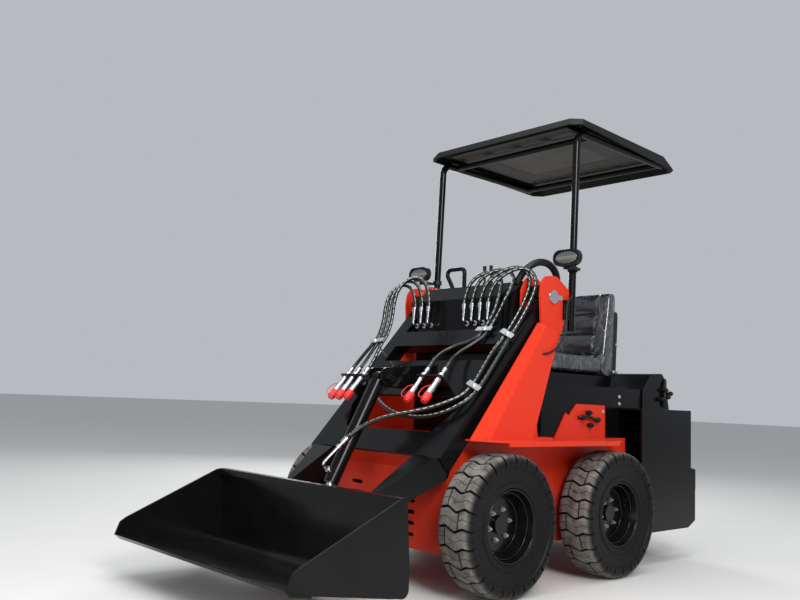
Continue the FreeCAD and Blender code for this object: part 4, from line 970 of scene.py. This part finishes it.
def liningPanel():
    # the moulding's inner side: bare tan in its pockets, with painted shade on its ribs between them
    shade = Shade("liningPanel")
    pocket = shade.own()[0]
    stain = shade.noise(*lining["stain"])
    tan = shade.mix(stain, *lining["bare"])
    spread, least = lining["rough"]
    return shade.principled({
        # painted shade on the ribs, bare tan in the pockets
        "Base Color": shade.mix(pocket.step(*lining["edge"]), lining["ribs"], tan),
        "Roughness": stain * spread + least,
        "Normal": shade.bump(shade.noise(*lining["grain"]), *lining["bump"]),
    })


def liningPiece():
    # below: height = low + deep times the largest pocket, each a smooth step down of how far a point lies
    # outside its rectangle; above: flat
    x = np.linspace(-lining["x"], lining["x"], lining["grid"])[None, :]
    y = np.linspace(*lining["y"], lining["grid"])[:, None]
    pocket = 0
    for cx, cy, hx, hy in lining["pockets"]:
        gap = np.maximum(np.abs(x - cx) - hx, np.abs(y - cy) - hy)
        pocket = np.maximum(pocket, 1 / (1 + np.exp(gap / lining["soft"])))
    under = np.stack([x + 0 * y, y + 0 * x, lining["low"] + lining["deep"] * pocket], -1)
    over = under[:, ::-1] * (1, 1, 0) + (0, 0, lining["low"] + lining["deep"] + lining["sheet"])
    pocket = np.concatenate([pocket, 0 * pocket], 1)
    points = np.concatenate([under, over], 1)
    piece = surface("roofLining", points, roundColumns=True, sharp=lining["sharp"])
    # its own UV says how far each point is in a pocket
    layer = piece.data.uv_layers.new(name="own")
    corner = np.empty(len(piece.data.loops), int)
    piece.data.loops.foreach_get("vertex_index", corner)
    layer.data.foreach_set("uv", np.stack([pocket.ravel()[corner], 0 * corner], -1).ravel())
    finish(piece, "canopy_plastic", liningPanel())
    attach(piece, "chassis")


liningPiece()

# suction hose that arches over behind the near tower, cable, pipe and rod, and the loops of the red caps

trim = {
    "arch": [(0.285, 0.085, 1.365), (0.300, 0.090, 1.400), (0.325, 0.105, 1.440), (0.345, 0.140, 1.470),
             (0.356, 0.190, 1.484), (0.362, 0.245, 1.476), (0.362, 0.290, 1.445), (0.352, 0.318, 1.405),
             (0.325, 0.325, 1.365), (0.285, 0.295, 1.340), (0.250, 0.240, 1.328), (0.235, 0.190, 1.322),
             (0.232, 0.150, 1.322)],
    "archRadius": 0.0175,
    "sides": {"arch": 24, "runs": 14, "capLoops": 10},
    # name: radius, points
    "runs": {
        "lampCable": (0.0045, [(0.468, 0.290, 1.330), (0.472, 0.268, 1.310), (0.476, 0.238, 1.285),
                               (0.478, 0.226, 1.250), (0.481, 0.222, 1.200), (0.484, 0.212, 1.150),
                               (0.486, 0.190, 1.110), (0.488, 0.150, 1.066), (0.489, 0.100, 1.037),
                               (0.488, 0.062, 1.027), (0.480, 0.050, 1.026)]),
        "valvePipe": (0.0075, [(0.3760, 0.480, 0.742), (0.3885, 0.488, 0.742), (0.3900, 0.520, 0.750),
                               (0.3900, 0.560, 0.745), (0.3900, 0.600, 0.735), (0.3885, 0.640, 0.731),
                               (0.3760, 0.648, 0.730)]),
        "latchRod": (0.0085, [(0.3740, 1.305, 0.965), (0.3820, 1.300, 0.955), (0.3840, 1.292, 0.915),
                              (0.3840, 1.290, 0.870), (0.3840, 1.290, 0.830), (0.3740, 1.290, 0.812)]),
    },
    # caps' places on the arms' face: x, distance up the arms, height ahead
    "caps": [(-432, 262, 75), (112, 262, 75), (222, 262, 75)],
    "capLoop": [(-8, -8, 9), (-26, -16, 14), (-44, 4, 16), (-46, 34, 14), (-32, 58, 12), (-8, 66, 8)],
    "capLoopRadius": 0.0022,
}


def trimPieces():
    arch = tube("archHose", np.array(trim["arch"]), trim["archRadius"], trim["sides"]["arch"])
    finish(arch, "black_plastic")
    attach(arch, "chassis")
    for name, (radius, route) in trim["runs"].items():
        run = tube(name, np.array(route), radius, trim["sides"]["runs"])
        finish(run, "black_plastic")
        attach(run, "chassis")
    for k, place in enumerate(trim["caps"]):
        route = drawn(onFace(np.array(place) + trim["capLoop"]))
        loop = tube(f"capLoop{k}", route, trim["capLoopRadius"], trim["sides"]["capLoops"])
        finish(loop, "red_plastic")
        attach(loop, "lift_arms")


trimPieces()

# cooler core behind the rear louvres

core = {
    "x": 0.285, "y": 1.388, "z": (0.500, 0.778),
    "half": 0.010,              # half its thickness between the ribs
    "rib": (0.002, 0.011),      # height and pitch
    "grid": (5, 401),
    "sharp": 40.0,
}


def corePiece():
    # a slab whose wide faces are ribbed: half thickness = half + rib |sin(pi x / pitch)|
    rows, columns = core["grid"]
    x = np.linspace(-core["x"], core["x"], columns)
    height, pitch = core["rib"]
    rib = core["half"] + height * np.abs(np.sin(np.pi * x / pitch))
    ring = np.concatenate([np.stack([x, core["y"] + rib], -1), np.stack([x, core["y"] - rib], -1)[::-1]])
    z = np.linspace(*core["z"], rows)[:, None]
    points = np.stack([ring[:, 0] + 0 * z, ring[:, 1] + 0 * z, z + 0 * ring[:, 0]], -1)
    piece = surface("coolerCore", points, roundColumns=True, sharp=core["sharp"])
    finish(piece, "engine_iron")
    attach(piece, "chassis")


corePiece()
print("lining, trim and core made")

# floor and light

studio = {
    "floor": (colour(0.62, 0.615, 0.60), colour(0.57, 0.565, 0.55)),
    "patches": (1.2, 5.0),
    "floorRough": 0.85,
    "reach": 60.0,
    "world": colour(0.86, 0.90, 0.96),
    "worldPower": 0.55,
    "lamps": [
        # name, place, aim, size, watts
        ("sky", (0.4, -0.6, 6.0), (0.0, 0.0, 0.9), 5.0, 250.0),
        ("key", (4.6, -2.4, 3.6), (0.0, 0.0, 0.9), 2.0, 250.0),
        ("rim", (-4.5, 3.5, 3.2), (0.0, 0.0, 1.0), 2.4, 120.0),
        ("fill", (1.4, -4.0, 0.8), (0.2, -0.3, 0.45), 1.6, 45.0),
    ],
}


def floorAndLight():
    shade = Shade("paleFloor")
    look = shade.principled({
        "Base Color": shade.mix(shade.noise(*studio["patches"]), *studio["floor"]),
        "Roughness": studio["floorRough"],
    })
    reach = studio["reach"]
    mesh = bpy.data.meshes.new("floor")
    corners = [(-reach, -reach, 0), (reach, -reach, 0), (reach, reach, 0), (-reach, reach, 0)]
    mesh.from_pydata(corners, [], [(0, 1, 2, 3)])
    floor = bpy.data.objects.new("floor", mesh)
    scene.collection.objects.link(floor)
    floor.data.materials.append(look)
    for name, place, aim, size, watts in studio["lamps"]:
        data = bpy.data.lights.new(name, "AREA")
        data.size = size
        data.energy = watts
        lamp = bpy.data.objects.new(name, data)
        scene.collection.objects.link(lamp)
        lamp.location = place
        lamp.rotation_euler = (Vector(aim) - Vector(place)).to_track_quat("-Z", "Y").to_euler()
    world = bpy.data.worlds.new("studio")
    world.use_nodes = True
    background = world.node_tree.nodes["Background"]
    background.inputs["Color"].default_value = studio["world"]
    background.inputs["Strength"].default_value = studio["worldPower"]
    scene.world = world
    scene.view_settings.view_transform = "Standard"


floorAndLight()
print("floor and light set")
